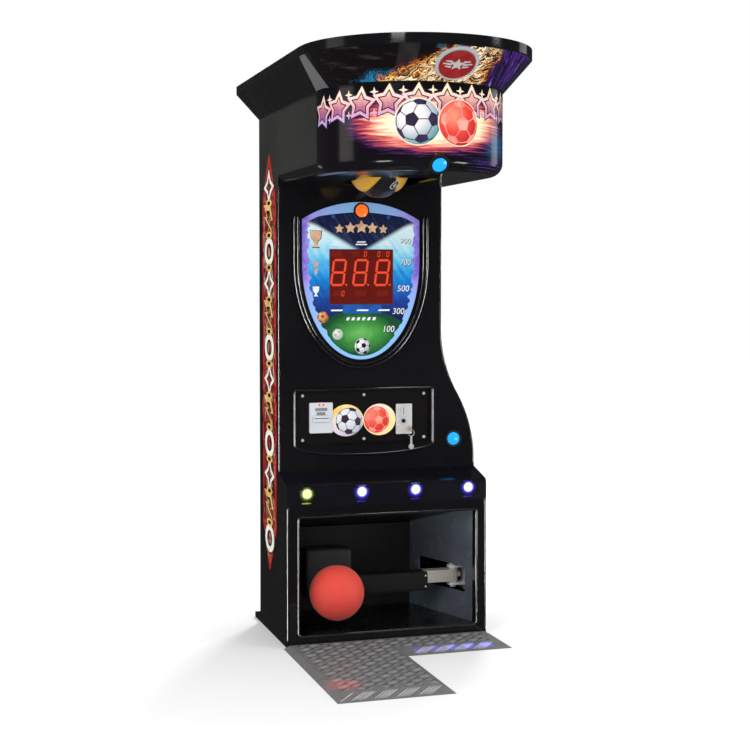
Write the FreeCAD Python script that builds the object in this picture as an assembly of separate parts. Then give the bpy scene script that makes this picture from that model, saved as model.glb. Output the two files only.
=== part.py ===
"""Kick and punch amusement machine: cabinet, kick ball on a swinging arm, and a punch bag in a hood.

Millimetres. +Z is up, the player stands on the -Y side, and the origin lies on the floor at the middle
of the base board. The tall tower is offset to the left, and its right side waves out to the full width.
"""
import FreeCAD, Part
import math
import os

V = FreeCAD.Vector

# ---- Cabinet -----------------------------------------------------------------------------------
HALF_WIDTH = 415.0
FRONT_Y = -290.0
REAR_Y = 190.0
BASE_REAR_Y = 290.0
BASE_THICKNESS = 22.0
PANEL = 18.0
SKIN = 12.0
BACK_THICKNESS = 15.0

# ---- Tower above the ledge -----------------------------------------------------------------------
FASCIA_Y = -150.0
FASCIA_THICKNESS = 10.0
TOWER_RIGHT_X = 270.0
TOWER_X = (TOWER_RIGHT_X - HALF_WIDTH) / 2.0
WAVE_FOOT_Z = 700.0
WAVE_TOP_Z = 1240.0
CARCASE_TOP_Z = 2094.0
TOP_BOARD_Z = 2106.0

# ---- Kick chamber --------------------------------------------------------------------------------
FRAME_TOP_Z = 553.0
OPENING_HALF = 366.0
OPENING_FLOOR_Z = 48.0
OPENING_TOP_Z = 509.0
FRAME_DEPTH = 28.0
BEAD_WIDTH = 9.0
BEAD_HEIGHT = 4.0
CHAMBER_BACK_Y = 150.0
CHAMBER_BACK_X = 235.0
CEILING_BACK_Z = 402.0
CEILING_FRONT_Z = 514.0
LEDGE_NOSE_Z = 622.0
LEDGE_TOP_Z = 671.0

# ---- Kick arm ------------------------------------------------------------------------------------
HINGE_X = 336.0
HINGE_Y = -110.0
ARM_LOW_Z = 190.0
ARM_TUBE = 50.0
ARM_WALL = 3.0
PIN_RADIUS = 8.0
RUNNING_FIT = 0.08
LUG_GAP = 6.0
LUG_THICKNESS = 10.0
SLEEVE_LEFT_X = -250.0
SLEEVE_RIGHT_X = 218.0
SLEEVE_LOW_Z = 158.0
SLEEVE_HALF_DEPTH = 36.0
BALL_RADIUS = 110.0
BALL_X = -205.0
BALL_Z = 200.0
BALL_PAD = 6.0
STOP_FRONT_Y = 45.0

# ---- Hood and bag --------------------------------------------------------------------------------
HOOD_LOW_Z = 1810.0
HOOD_WALL = 8.0
HOOD_ROUNDING = 45.0
HOOD_RADIUS = (TOWER_RIGHT_X + HALF_WIDTH) / 2.0
HOOD_CENTRE_Y = -739.0
WELL_HALF = 140.0
WELL_FRONT_Y = -705.0
WELL_REAR_Y = -240.0
BAG_PIVOT_Y = -640.0
BAG_PIVOT_Z = 1876.0
BAG_REACH = 260.0
BAG_RADIUS = 121.0
BAG_SHAFT_RADIUS = 12.0

# ---- Visor ---------------------------------------------------------------------------------------
VISOR_TOP_Z = 2250.0
VISOR_RIM = 34.0
VISOR_FLARE = 80.0
VISOR_REAR_FLARE = 73.0
VISOR_SHIFT_Y = -64.0
VISOR_WALL = 8.0

# ---- Front panel pieces --------------------------------------------------------------------------
SHIELD_HALF = 247.0
SHIELD_TOP_Z = 1753.0
SHIELD_CORNER_Z = 1681.0
SHIELD_WAIST_Z = 1505.0
SHIELD_TIP_Z = 1118.0
PRINT_THICKNESS = 3.0
WINDOW_HALF = 133.0
WINDOW_LOW_Z = 1342.0
WINDOW_HIGH_Z = 1562.0
COIN_LEFT_X = -338.0
COIN_RIGHT_X = 218.0
COIN_LOW_Z = 780.0
COIN_HIGH_Z = 996.0
COIN_RECESS = 5.0
CAP_RADIUS = 25.5
CAP_GAP = 0.4
LAMP_Z = 604.0
LAMP_PITCH = 224.0

# ---- Tread plate ---------------------------------------------------------------------------------
PLATE_HALF = 430.0
PLATE_FRONT_Y = -1065.0
PLATE_STEP_X = 0.0
PLATE_STEP_Y = -535.0
PLATE_HEIGHT = 12.0
SHEET = 3.0
FRONT_BEVEL = 100.0
SIDE_BEVEL = 24.0

# ---- Transport wheels ----------------------------------------------------------------------------
WHEEL_X = 300.0
WHEEL_Y = 262.0
WHEEL_Z = 50.0
WHEEL_RADIUS = 40.0
AXLE_RADIUS = 6.0

# ---- Back door -----------------------------------------------------------------------------------
DOOR_LEFT_X = -330.0
DOOR_RIGHT_X = 180.0
DOOR_LOW_Z = 900.0
DOOR_HIGH_Z = 1750.0
DOOR_GAP = 3.0
DOOR_PIN_Y = REAR_Y + 6.0

STEP_FOLDER = "parts"


# ---- Shape helpers -------------------------------------------------------------------------------
def box(x0, x1, y0, y1, z0, z1):
    return Part.makeBox(x1 - x0, y1 - y0, z1 - z0, V(x0, y0, z0))


def cylinder(radius, start, direction, length):
    return Part.makeCylinder(radius, length, start, direction)


def polygon(points):
    return Part.Face(Part.makePolygon(points + [points[0]]))


def prism_x(points, x0, x1):
    """Solid of a (Y, Z) outline, drawn out along X."""
    return polygon([V(x0, y, z) for y, z in points]).extrude(V(x1 - x0, 0, 0))


def prism_z(points, z0, z1):
    """Solid of an (X, Y) outline, drawn out along Z."""
    return polygon([V(x, y, z0) for x, y in points]).extrude(V(0, 0, z1 - z0))


def face_of(edges):
    return Part.Face(Part.Wire(edges))


def line(start, end):
    return Part.makeLine(start, end)


def fuse(shapes):
    whole = shapes[0]
    for shape in shapes[1:]:
        whole = whole.fuse(shape)
    return whole.removeSplitter()


def cut_all(shape, tools):
    for tool in tools:
        shape = shape.cut(tool)
    return shape


def edges_along(shape, direction):
    """Straight edges parallel to a direction."""
    found = []
    for edge in shape.Edges:
        span = edge.Vertexes[-1].Point - edge.Vertexes[0].Point
        if span.Length > 0.01 and abs(span.dot(direction)) > 0.999 * span.Length:
            found.append(edge)
    return found


def rounded_plate(x0, x1, y0, y1, z0, z1, radius):
    """Plate that faces -Y, with rounded corners."""
    plate = box(x0, x1, y0, y1, z0, z1)
    return plate.makeFillet(radius, edges_along(plate, V(0, 1, 0)))


def ring(outer, inner, start, direction, length):
    return cylinder(outer, start, direction, length).cut(cylinder(inner, start, direction, length))


# ---- Outlines ------------------------------------------------------------------------------------
def wave_edges(y, inset):
    """Two tangent arcs down the right side of the tower, moved in by an inset."""
    shift = HALF_WIDTH - TOWER_RIGHT_X
    drop = WAVE_TOP_Z - WAVE_FOOT_Z
    radius = (drop * drop + shift * shift) / (4.0 * shift)
    turn = math.asin(drop / 2.0 / radius)

    def high(angle):
        reach = radius + inset
        return V(TOWER_RIGHT_X + radius - reach * math.cos(angle), y, WAVE_TOP_Z - reach * math.sin(angle))

    def low(angle):
        reach = radius - inset
        return V(HALF_WIDTH - radius + reach * math.cos(angle), y, WAVE_FOOT_Z + reach * math.sin(angle))

    return [Part.Arc(high(0), high(turn / 2), high(turn)).toShape(),
            Part.Arc(low(turn), low(turn / 2), low(0)).toShape()]


def tower_face(y, inset, low_z, high_z):
    """Front outline of the machine from a height below the wave up to a height above it."""
    left = -HALF_WIDTH + inset
    narrow = TOWER_RIGHT_X - inset
    wide = HALF_WIDTH - inset
    edges = [line(V(left, y, high_z), V(narrow, y, high_z)),
             line(V(narrow, y, high_z), V(narrow, y, WAVE_TOP_Z))]
    edges += wave_edges(y, inset)
    edges += [line(V(wide, y, WAVE_FOOT_Z), V(wide, y, low_z)),
              line(V(wide, y, low_z), V(left, y, low_z)),
              line(V(left, y, low_z), V(left, y, high_z))]
    return face_of(edges)


def hood_face(z, inset, rear_y):
    """Plan of the hood: straight sides and a half-round front."""
    radius = HOOD_RADIUS - inset
    left = V(TOWER_X - radius, HOOD_CENTRE_Y, z)
    right = V(TOWER_X + radius, HOOD_CENTRE_Y, z)
    apex = V(TOWER_X, HOOD_CENTRE_Y - radius, z)
    rear_left = V(left.x, rear_y, z)
    rear_right = V(right.x, rear_y, z)
    return face_of([Part.Arc(left, apex, right).toShape(), line(right, rear_right),
                    line(rear_right, rear_left), line(rear_left, left)])


def visor_wire(z, flare, inset):
    """Plan of the visor at one height; flare runs from 0 at its foot to 1 at its rim."""
    radius = HOOD_RADIUS + VISOR_FLARE * flare - inset
    centre_y = HOOD_CENTRE_Y + VISOR_SHIFT_Y * flare
    rear_y = REAR_Y + VISOR_REAR_FLARE * flare - inset
    facet = math.radians(18.0 - 10.0 * flare)
    reach_x = radius * math.cos(facet)
    reach_y = radius * math.sin(facet)
    rear_left = V(TOWER_X - radius, rear_y, z)
    side_left = V(TOWER_X - radius, centre_y, z)
    front_left = V(TOWER_X - reach_x, centre_y - reach_y, z)
    front_right = V(TOWER_X + reach_x, centre_y - reach_y, z)
    side_right = V(TOWER_X + radius, centre_y, z)
    rear_right = V(TOWER_X + radius, rear_y, z)
    apex = V(TOWER_X, centre_y - radius, z)
    return Part.Wire([line(rear_left, side_left), line(side_left, front_left),
                      Part.Arc(front_left, apex, front_right).toShape(), line(front_right, side_right),
                      line(side_right, rear_right), line(rear_right, rear_left)])


def shield_face(y, grow):
    """Shield outline: arched top, upright sides and a half-ellipse below."""
    half = SHIELD_HALF + grow
    top = V(TOWER_X, y, SHIELD_TOP_Z + grow)
    left = V(TOWER_X - half, y, SHIELD_CORNER_Z + grow)
    right = V(TOWER_X + half, y, SHIELD_CORNER_Z + grow)
    waist_left = V(TOWER_X - half, y, SHIELD_WAIST_Z)
    waist_right = V(TOWER_X + half, y, SHIELD_WAIST_Z)
    centre = V(TOWER_X, y, SHIELD_WAIST_Z)
    tip = V(TOWER_X, y, SHIELD_TIP_Z - grow)
    ellipse = Part.Ellipse(tip, waist_right, centre)
    bowl = Part.ArcOfEllipse(ellipse, -math.pi / 2, math.pi / 2).toShape()
    edges = [Part.Arc(left, top, right).toShape(), line(right, waist_right), bowl,
             line(waist_left, left)]
    return Part.Face(Part.Wire(Part.__sortEdges__(edges)))


def ledge_profile(inset):
    """(Y, Z) points of the ledge from its foot over the nose to the fascia, moved in by an inset."""
    return [(FRONT_Y + inset, FRAME_TOP_Z), (FRONT_Y + inset, LEDGE_NOSE_Z - 0.4 * inset),
            (FRONT_Y + 6 + 0.8 * inset, LEDGE_NOSE_Z + 12 - 0.7 * inset),
            (FRONT_Y + 22 + 0.4 * inset, LEDGE_NOSE_Z + 18 - inset),
            (FASCIA_Y, LEDGE_TOP_Z - inset)]


# ---- Base, wheels and tread plate ----------------------------------------------------------------
def wheel_sides():
    return (-WHEEL_X, WHEEL_X)


def base_board():
    board = box(-HALF_WIDTH, HALF_WIDTH, FRONT_Y, BASE_REAR_Y, 0, BASE_THICKNESS)
    notches = [box(x - 26, x + 26, WHEEL_Y - 36, BASE_REAR_Y, 0, BASE_THICKNESS) for x in wheel_sides()]
    return cut_all(board, notches)


def wheel_bracket(x):
    """Plate on the cabinet back with two ears and the fixed axle between them."""
    pieces = [box(x - 24, x + 24, REAR_Y, REAR_Y + 4, BASE_THICKNESS, 105)]
    for side in (-1, 1):
        near = x + side * 20
        far = x + side * 24
        pieces.append(box(min(near, far), max(near, far), REAR_Y, WHEEL_Y + 16, 26, 74))
    pieces.append(cylinder(AXLE_RADIUS, V(x - 28, WHEEL_Y, WHEEL_Z), V(1, 0, 0), 56))
    return fuse(pieces)


def transport_wheel(x):
    tyre = cylinder(WHEEL_RADIUS, V(x - 15, WHEEL_Y, WHEEL_Z), V(1, 0, 0), 30)
    rims = [edge for edge in tyre.Edges if edge.Length > 6 * WHEEL_RADIUS]
    tyre = tyre.makeFillet(5, rims)
    hub = cylinder(15, V(x - 19, WHEEL_Y, WHEEL_Z), V(1, 0, 0), 38)
    bore = cylinder(AXLE_RADIUS + RUNNING_FIT, V(x - 20, WHEEL_Y, WHEEL_Z), V(1, 0, 0), 40)
    return fuse([tyre, hub]).cut(bore)


def plate_points(front, side, rear):
    """L-shaped plan of the tread plate with its edges drawn in by the given widths."""
    left = -PLATE_HALF + side
    right = PLATE_HALF - side
    step = PLATE_STEP_X - side
    return [(left, FRONT_Y - rear), (left, PLATE_FRONT_Y + front), (step, PLATE_FRONT_Y + front),
            (step, PLATE_STEP_Y + front), (right, PLATE_STEP_Y + front), (right, FRONT_Y - rear)]


def plate_block(height, shrink):
    foot = Part.makePolygon([V(x, y, 0) for x, y in closed(plate_points(shrink * 6, shrink, 0))])
    front = FRONT_BEVEL + shrink * 2
    top = Part.makePolygon([V(x, y, height) for x, y in closed(plate_points(front, SIDE_BEVEL + shrink, 0))])
    return Part.makeLoft([foot, top], True, True)


def closed(points):
    return points + [points[0]]


def plate_board():
    return plate_block(PLATE_HEIGHT - SHEET, SHEET)


def tread_plate():
    return plate_block(PLATE_HEIGHT, 0).cut(plate_board())


# ---- Cabinet panels ------------------------------------------------------------------------------
def left_side_panel():
    front = ledge_profile(SKIN)
    points = [(REAR_Y, BASE_THICKNESS), (FRONT_Y + SKIN, BASE_THICKNESS)] + front[:-1]
    points += [(FASCIA_Y + FASCIA_THICKNESS, LEDGE_TOP_Z - SKIN),
               (FASCIA_Y + FASCIA_THICKNESS, CARCASE_TOP_Z), (REAR_Y, CARCASE_TOP_Z)]
    return prism_x(points, -HALF_WIDTH, -HALF_WIDTH + PANEL)


def right_side_panel():
    """Upright foot, two-bend wave and upright upper part, all one thickness."""
    front = ledge_profile(SKIN)
    points = [(REAR_Y, BASE_THICKNESS), (FRONT_Y + SKIN, BASE_THICKNESS)] + front[:-1]
    points += [(FASCIA_Y + FASCIA_THICKNESS, LEDGE_TOP_Z - SKIN),
               (FASCIA_Y + FASCIA_THICKNESS, WAVE_FOOT_Z), (REAR_Y, WAVE_FOOT_Z)]
    foot = prism_x(points, HALF_WIDTH - PANEL, HALF_WIDTH)
    front_y = FASCIA_Y + FASCIA_THICKNESS
    outer = wave_edges(front_y, 0)
    inner = wave_edges(front_y, PANEL)
    rim = outer + [line(V(HALF_WIDTH, front_y, WAVE_FOOT_Z), V(HALF_WIDTH - PANEL, front_y, WAVE_FOOT_Z))]
    rim += inner + [line(V(TOWER_RIGHT_X, front_y, WAVE_TOP_Z), V(TOWER_RIGHT_X - PANEL, front_y, WAVE_TOP_Z))]
    band = Part.Face(Part.Wire(Part.__sortEdges__(rim))).extrude(V(0, REAR_Y - front_y, 0))
    upper = box(TOWER_RIGHT_X - PANEL, TOWER_RIGHT_X, front_y, REAR_Y, WAVE_TOP_Z, CARCASE_TOP_Z)
    return fuse([foot, band, upper])


def back_panel():
    panel = tower_face(REAR_Y - BACK_THICKNESS, PANEL, BASE_THICKNESS, CARCASE_TOP_Z)
    panel = panel.extrude(V(0, BACK_THICKNESS, 0))
    doorway = box(DOOR_LEFT_X, DOOR_RIGHT_X, REAR_Y - 20, REAR_Y + 5, DOOR_LOW_Z, DOOR_HIGH_Z)
    inlet = box(276, 324, REAR_Y - 20, REAR_Y + 5, 466, 494)
    return cut_all(panel, [doorway, inlet])


def power_inlet():
    body = box(276, 324, 150, REAR_Y, 466, 494)
    flange = rounded_plate(268, 332, REAR_Y, REAR_Y + 3, 458, 502, 5)
    socket = box(284, 316, REAR_Y - 18, REAR_Y + 3, 471, 489)
    pins = [box(x - 2, x + 2, REAR_Y - 18, REAR_Y - 4, 477, 483) for x in (291, 300, 309)]
    return fuse([fuse([body, flange]).cut(socket)] + pins)


def top_board():
    return hood_face(CARCASE_TOP_Z, 0, REAR_Y).extrude(V(0, 0, TOP_BOARD_Z - CARCASE_TOP_Z))


def mid_shelf():
    return box(-HALF_WIDTH + PANEL, HALF_WIDTH - PANEL, FASCIA_Y + FASCIA_THICKNESS,
               REAR_Y - BACK_THICKNESS, LEDGE_TOP_Z - 27, LEDGE_TOP_Z - SKIN)


# ---- Back door with its hinges and lock -----------------------------------------------------------
HINGE_HEIGHT = 80.0
KNUCKLE = 5.5
DOOR_PIN_RADIUS = 2.5
DOOR_HINGE_BASES = (DOOR_LOW_Z + 70, DOOR_HIGH_Z - 150)
LOCK_X = 150.0
LOCK_Z = 1325.0
LOCK_RADIUS = 10.0


def back_door():
    door = box(DOOR_LEFT_X + DOOR_GAP, DOOR_RIGHT_X - DOOR_GAP, REAR_Y - BACK_THICKNESS, REAR_Y,
               DOOR_LOW_Z + DOOR_GAP, DOOR_HIGH_Z - DOOR_GAP)
    bore = cylinder(LOCK_RADIUS + RUNNING_FIT, V(LOCK_X, REAR_Y - 20, LOCK_Z), V(0, 1, 0), 30)
    vents = [box(-180 + 60 * step, -144 + 60 * step, REAR_Y - 20, REAR_Y + 5, 1600 + 24 * row, 1608 + 24 * row)
             for step in range(5) for row in range(3)]
    return cut_all(door, [bore] + vents)


def fixed_hinge(base_z):
    """Leaf on the back panel with the two outer knuckles and the pin."""
    leaf = box(DOOR_LEFT_X - 35, DOOR_LEFT_X - 6.5, REAR_Y, REAR_Y + 2.5, base_z, base_z + HINGE_HEIGHT)
    pieces = [leaf, cylinder(DOOR_PIN_RADIUS, V(DOOR_LEFT_X, DOOR_PIN_Y, base_z), V(0, 0, 1), HINGE_HEIGHT)]
    for low_z in (base_z, base_z + 55):
        pieces.append(cylinder(KNUCKLE, V(DOOR_LEFT_X, DOOR_PIN_Y, low_z), V(0, 0, 1), 25))
        pieces.append(box(DOOR_LEFT_X - 7, DOOR_LEFT_X, REAR_Y, REAR_Y + 2.5, low_z, low_z + 25))
    return fuse(pieces)


def moving_hinge(base_z):
    """Leaf on the door with the middle knuckle."""
    low_z = base_z + 25.4
    height = 29.2
    leaf = box(DOOR_LEFT_X + 6.5, DOOR_LEFT_X + 35, REAR_Y, REAR_Y + 2.5, base_z, base_z + HINGE_HEIGHT)
    web = box(DOOR_LEFT_X + 3.1, DOOR_LEFT_X + 7, REAR_Y, REAR_Y + 2.5, low_z, low_z + height)
    neck = box(DOOR_LEFT_X, DOOR_LEFT_X + 4, REAR_Y + 0.6, REAR_Y + 2.5, low_z, low_z + height)
    knuckle = cylinder(KNUCKLE, V(DOOR_LEFT_X, DOOR_PIN_Y, low_z), V(0, 0, 1), height)
    bore = cylinder(DOOR_PIN_RADIUS + RUNNING_FIT, V(DOOR_LEFT_X, DOOR_PIN_Y, low_z), V(0, 0, 1), height)
    return fuse([leaf, web, neck, knuckle]).cut(bore)


def door_lock_cam():
    """Lock plug with its head outside and its tongue inside; the tongue stands upright when unlocked."""
    plug = cylinder(LOCK_RADIUS, V(LOCK_X, REAR_Y - 25, LOCK_Z), V(0, 1, 0), 26)
    head = cylinder(13, V(LOCK_X, REAR_Y + 0.3, LOCK_Z), V(0, 1, 0), 4)
    tongue = box(LOCK_X - 6, LOCK_X + 6, REAR_Y - 22, REAR_Y - 19, LOCK_Z - 6, LOCK_Z + 44)
    keyway = box(LOCK_X - 1.2, LOCK_X + 1.2, REAR_Y - 8, REAR_Y + 5, LOCK_Z - 5, LOCK_Z + 5)
    return fuse([plug, head, tongue]).cut(keyway)


# ---- Lower front and kick chamber ------------------------------------------------------------------
def front_frame():
    """Moulding round the kick opening, with a raised bead on the edge of the opening."""
    skin = box(-HALF_WIDTH, HALF_WIDTH, FRONT_Y, FRONT_Y + SKIN, BASE_THICKNESS, FRAME_TOP_Z)
    corners = [edge for edge in edges_along(skin, V(0, 0, 1)) if edge.Vertexes[0].Point.y < FRONT_Y + 1]
    skin = skin.makeFillet(SKIN - 1, corners)
    inner = box(-HALF_WIDTH + PANEL, HALF_WIDTH - PANEL, FRONT_Y + SKIN, FRONT_Y + FRAME_DEPTH,
                BASE_THICKNESS, FRAME_TOP_Z)
    bead = rounded_plate(-OPENING_HALF - BEAD_WIDTH, OPENING_HALF + BEAD_WIDTH, FRONT_Y - BEAD_HEIGHT,
                         FRONT_Y + 1, OPENING_FLOOR_Z - BEAD_WIDTH, OPENING_TOP_Z + BEAD_WIDTH, 18)
    front_rim = [edge for edge in bead.Edges if abs(edge.CenterOfMass.y - FRONT_Y + BEAD_HEIGHT) < 0.01]
    bead = bead.makeFillet(BEAD_HEIGHT - 0.5, front_rim)
    opening = rounded_plate(-OPENING_HALF, OPENING_HALF, FRONT_Y - 10, FRONT_Y + FRAME_DEPTH + 5,
                            OPENING_FLOOR_Z, OPENING_TOP_Z, 10)
    return fuse([skin, inner, bead]).cut(opening)


def ceiling_z(y):
    """Height of the chamber's sloping ceiling at a depth."""
    start = FRONT_Y + FRAME_DEPTH
    share = (y - start) / (CHAMBER_BACK_Y - start)
    return CEILING_FRONT_Z + share * (CEILING_BACK_Z - CEILING_FRONT_Z)


def right_wall_x(y):
    """Inner face of the slanted right wall at a depth."""
    start = FRONT_Y + FRAME_DEPTH
    share = (y - start) / (CHAMBER_BACK_Y - start)
    return OPENING_HALF + share * (CHAMBER_BACK_X - OPENING_HALF)


def chamber_floor():
    return box(-HALF_WIDTH + PANEL, HALF_WIDTH - PANEL, FRONT_Y + FRAME_DEPTH, CHAMBER_BACK_Y + SKIN,
               OPENING_FLOOR_Z - SKIN, OPENING_FLOOR_Z)


def chamber_back():
    return box(-HALF_WIDTH + PANEL, CHAMBER_BACK_X, CHAMBER_BACK_Y, CHAMBER_BACK_Y + SKIN,
               OPENING_FLOOR_Z, ceiling_z(CHAMBER_BACK_Y + SKIN))


def chamber_ceiling():
    front = FRONT_Y + FRAME_DEPTH
    back = CHAMBER_BACK_Y + SKIN
    points = [(front, ceiling_z(front)), (back, ceiling_z(back)),
              (back, ceiling_z(back) + SKIN), (front, ceiling_z(front) + SKIN)]
    return prism_x(points, -HALF_WIDTH + PANEL, HALF_WIDTH - PANEL)


SLOT_FRONT_Y, SLOT_BACK_Y = -215.0, 95.0
SLOT_LOW_Z, SLOT_HIGH_Z = 158.0, 264.0


def chamber_right():
    """Slanted wall with a level slot that the kick arm passes through."""
    front = FRONT_Y + FRAME_DEPTH
    back = CHAMBER_BACK_Y
    points = [(right_wall_x(front), front), (right_wall_x(back), back),
              (right_wall_x(back) + SKIN, back), (right_wall_x(front) + SKIN, front)]
    wall = prism_z(points, OPENING_FLOOR_Z, CEILING_FRONT_Z + SKIN)
    above = prism_x([(front - 1, ceiling_z(front - 1)), (back + 1, ceiling_z(back + 1)),
                     (back + 1, 900), (front - 1, 900)], CHAMBER_BACK_X - 50, HALF_WIDTH)
    slot = box(CHAMBER_BACK_X - 50, HALF_WIDTH, SLOT_FRONT_Y, SLOT_BACK_Y, SLOT_LOW_Z, SLOT_HIGH_Z)
    return cut_all(wall, [above, slot])


def stop_block():
    block = box(-252, -52, STOP_FRONT_Y, CHAMBER_BACK_Y, 112, 318)
    corners = [edge for edge in edges_along(block, V(0, 1, 0))]
    return block.makeFillet(8, corners)


# ---- Kick arm --------------------------------------------------------------------------------------
ARM_HIGH_Z = ARM_LOW_Z + ARM_TUBE
LUG_LOW_Z = ARM_LOW_Z - LUG_GAP - LUG_THICKNESS
LUG_HIGH_Z = ARM_HIGH_Z + LUG_GAP
TAIL_X = HINGE_X + 28.0
TAIL_HALF = 5.0
POST_Y = 10.0


def hinge_bracket():
    """Plate on the right side panel with a lug above and below the arm and a post for the spring."""
    wall_x = HALF_WIDTH - PANEL
    middle_z = ARM_LOW_Z + ARM_TUBE / 2
    pieces = [box(wall_x - 10, wall_x, HINGE_Y - 60, POST_Y + 15, 150, 280),
              box(TAIL_X - 5, wall_x, POST_Y - 5, POST_Y + 5, middle_z - 14, middle_z + 14)]
    for low_z in (LUG_LOW_Z, LUG_HIGH_Z):
        nose = cylinder(24, V(HINGE_X, HINGE_Y, low_z), V(0, 0, 1), LUG_THICKNESS)
        web = box(HINGE_X, wall_x - 10, HINGE_Y - 24, HINGE_Y + 24, low_z, low_z + LUG_THICKNESS)
        pieces += [nose, web]
    bore = cylinder(PIN_RADIUS, V(HINGE_X, HINGE_Y, LUG_LOW_Z - 5), V(0, 0, 1), 110)
    return fuse(pieces).cut(bore)


def hinge_pin():
    low_z = LUG_LOW_Z - 6
    high_z = LUG_HIGH_Z + LUG_THICKNESS
    pin = cylinder(PIN_RADIUS, V(HINGE_X, HINGE_Y, low_z), V(0, 0, 1), high_z - low_z + 2)
    head = cylinder(15, V(HINGE_X, HINGE_Y, high_z), V(0, 0, 1), 8)
    collar = cylinder(13, V(HINGE_X, HINGE_Y, low_z - 4), V(0, 0, 1), LUG_LOW_Z - low_z + 4)
    return fuse([pin, head, collar])


def hinge_bushes():
    """Two flanged plastic bushes pressed into the arm's knuckle."""
    clear = PIN_RADIUS + RUNNING_FIT
    flange = LUG_GAP - 0.3
    low = fuse([ring(17, clear, V(HINGE_X, HINGE_Y, ARM_LOW_Z - flange), V(0, 0, 1), flange),
                ring(11, clear, V(HINGE_X, HINGE_Y, ARM_LOW_Z), V(0, 0, 1), 18)])
    high = fuse([ring(17, clear, V(HINGE_X, HINGE_Y, ARM_HIGH_Z), V(0, 0, 1), flange),
                 ring(11, clear, V(HINGE_X, HINGE_Y, ARM_HIGH_Z - 18), V(0, 0, 1), 18)])
    return Part.makeCompound([low, high])


def kick_arm():
    """Square steel tube welded to an upright knuckle, with the ball's flange and stud on its front."""
    half = ARM_TUBE / 2
    left = SLEEVE_LEFT_X + 10
    outer = box(left, HINGE_X, HINGE_Y - half, HINGE_Y + half, ARM_LOW_Z, ARM_HIGH_Z)
    hollow = box(left + ARM_WALL, HINGE_X - 26, HINGE_Y - half + ARM_WALL, HINGE_Y + half - ARM_WALL,
                 ARM_LOW_Z + ARM_WALL, ARM_HIGH_Z - ARM_WALL)
    knuckle = cylinder(20, V(HINGE_X, HINGE_Y, ARM_LOW_Z), V(0, 0, 1), ARM_TUBE)
    corner = box(HINGE_X - 4, HINGE_X + 1, HINGE_Y - half - 1, HINGE_Y + half + 1, ARM_LOW_Z, ARM_HIGH_Z)
    tube = outer.cut(corner)
    bore = cylinder(11, V(HINGE_X, HINGE_Y, ARM_LOW_Z - 1), V(0, 0, 1), ARM_TUBE + 2)
    middle_z = ARM_LOW_Z + ARM_TUBE / 2
    tail = box(HINGE_X + 14, TAIL_X + 4, HINGE_Y - TAIL_HALF, HINGE_Y + TAIL_HALF, middle_z - 9, middle_z + 9)
    return fuse([tube.cut(hollow), knuckle, tail, ball_mount()]).cut(bore)


def kick_sleeve():
    """Padded sleeve over the tube."""
    half = ARM_TUBE / 2
    sleeve = box(SLEEVE_LEFT_X, SLEEVE_RIGHT_X, HINGE_Y - SLEEVE_HALF_DEPTH, HINGE_Y + SLEEVE_HALF_DEPTH,
                 SLEEVE_LOW_Z, ARM_HIGH_Z + 2)
    sleeve = sleeve.makeFillet(6, edges_along(sleeve, V(1, 0, 0)))
    core = box(SLEEVE_LEFT_X + 10, SLEEVE_RIGHT_X + 1, HINGE_Y - half, HINGE_Y + half, ARM_LOW_Z, ARM_HIGH_Z)
    stud = cylinder(9, V(BALL_X, HINGE_Y - half, ARM_LOW_Z + 20), V(0, -1, 0), SLEEVE_HALF_DEPTH - half)
    return cut_all(sleeve, [core, stud])


def ball_mount():
    """Flange that the ball sits on, with its stud back through the sleeve to the tube."""
    front_y = HINGE_Y - SLEEVE_HALF_DEPTH
    disc = cylinder(44, V(BALL_X, front_y - BALL_PAD, BALL_Z), V(0, 1, 0), BALL_PAD)
    stud = cylinder(9, V(BALL_X, front_y - BALL_PAD, ARM_LOW_Z + 20), V(0, 1, 0),
                    SLEEVE_HALF_DEPTH - ARM_TUBE / 2 + BALL_PAD)
    return fuse([disc, stud])


def kick_ball():
    """Ball with a small flat where it meets its flange."""
    flat_y = HINGE_Y - SLEEVE_HALF_DEPTH - BALL_PAD
    sunk = BALL_RADIUS - math.sqrt(BALL_RADIUS ** 2 - 44.0 ** 2)
    ball = Part.makeSphere(BALL_RADIUS, V(BALL_X, flat_y - BALL_RADIUS + sunk, BALL_Z))
    behind = box(BALL_X - 120, BALL_X + 120, flat_y, flat_y + 60, BALL_Z - 120, BALL_Z + 120)
    return ball.cut(behind)


def return_spring():
    """Extension spring from the arm's tail back to the post on the bracket."""
    coil_radius = 7.0
    wire_radius = 1.3
    start_y = HINGE_Y + TAIL_HALF + 2 + wire_radius
    length = POST_Y - 7 - wire_radius - start_y
    helix = Part.makeHelix(length / 18, length, coil_radius)
    profile = Part.Wire(Part.Circle(V(coil_radius, 0, 0), V(0, 1, 0.11), wire_radius).toShape())
    coil = Part.Wire(helix).makePipeShell([profile], True, True)
    coil.rotate(V(0, 0, 0), V(1, 0, 0), -90)
    coil.translate(V(TAIL_X, start_y, ARM_LOW_Z + ARM_TUBE / 2))
    return coil


# ---- Ledge and lamps -------------------------------------------------------------------------------
def lamp_places():
    return [LAMP_PITCH * (step - 1.5) for step in range(4)]


def ledge_moulding():
    """Skin over the top of the lower box, from the frame to the fascia."""
    outer = ledge_profile(0)
    inner = ledge_profile(SKIN)
    inner[-1] = (FASCIA_Y + FASCIA_THICKNESS, LEDGE_TOP_Z - SKIN)
    tail = (FASCIA_Y + FASCIA_THICKNESS, LEDGE_TOP_Z)
    ledge = prism_x(outer + [tail] + inner[::-1], -HALF_WIDTH, HALF_WIDTH)
    holes = [cylinder(17, V(x, FRONT_Y - 5, LAMP_Z), V(0, 1, 0), 30) for x in lamp_places()]
    return cut_all(ledge, holes)


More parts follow.
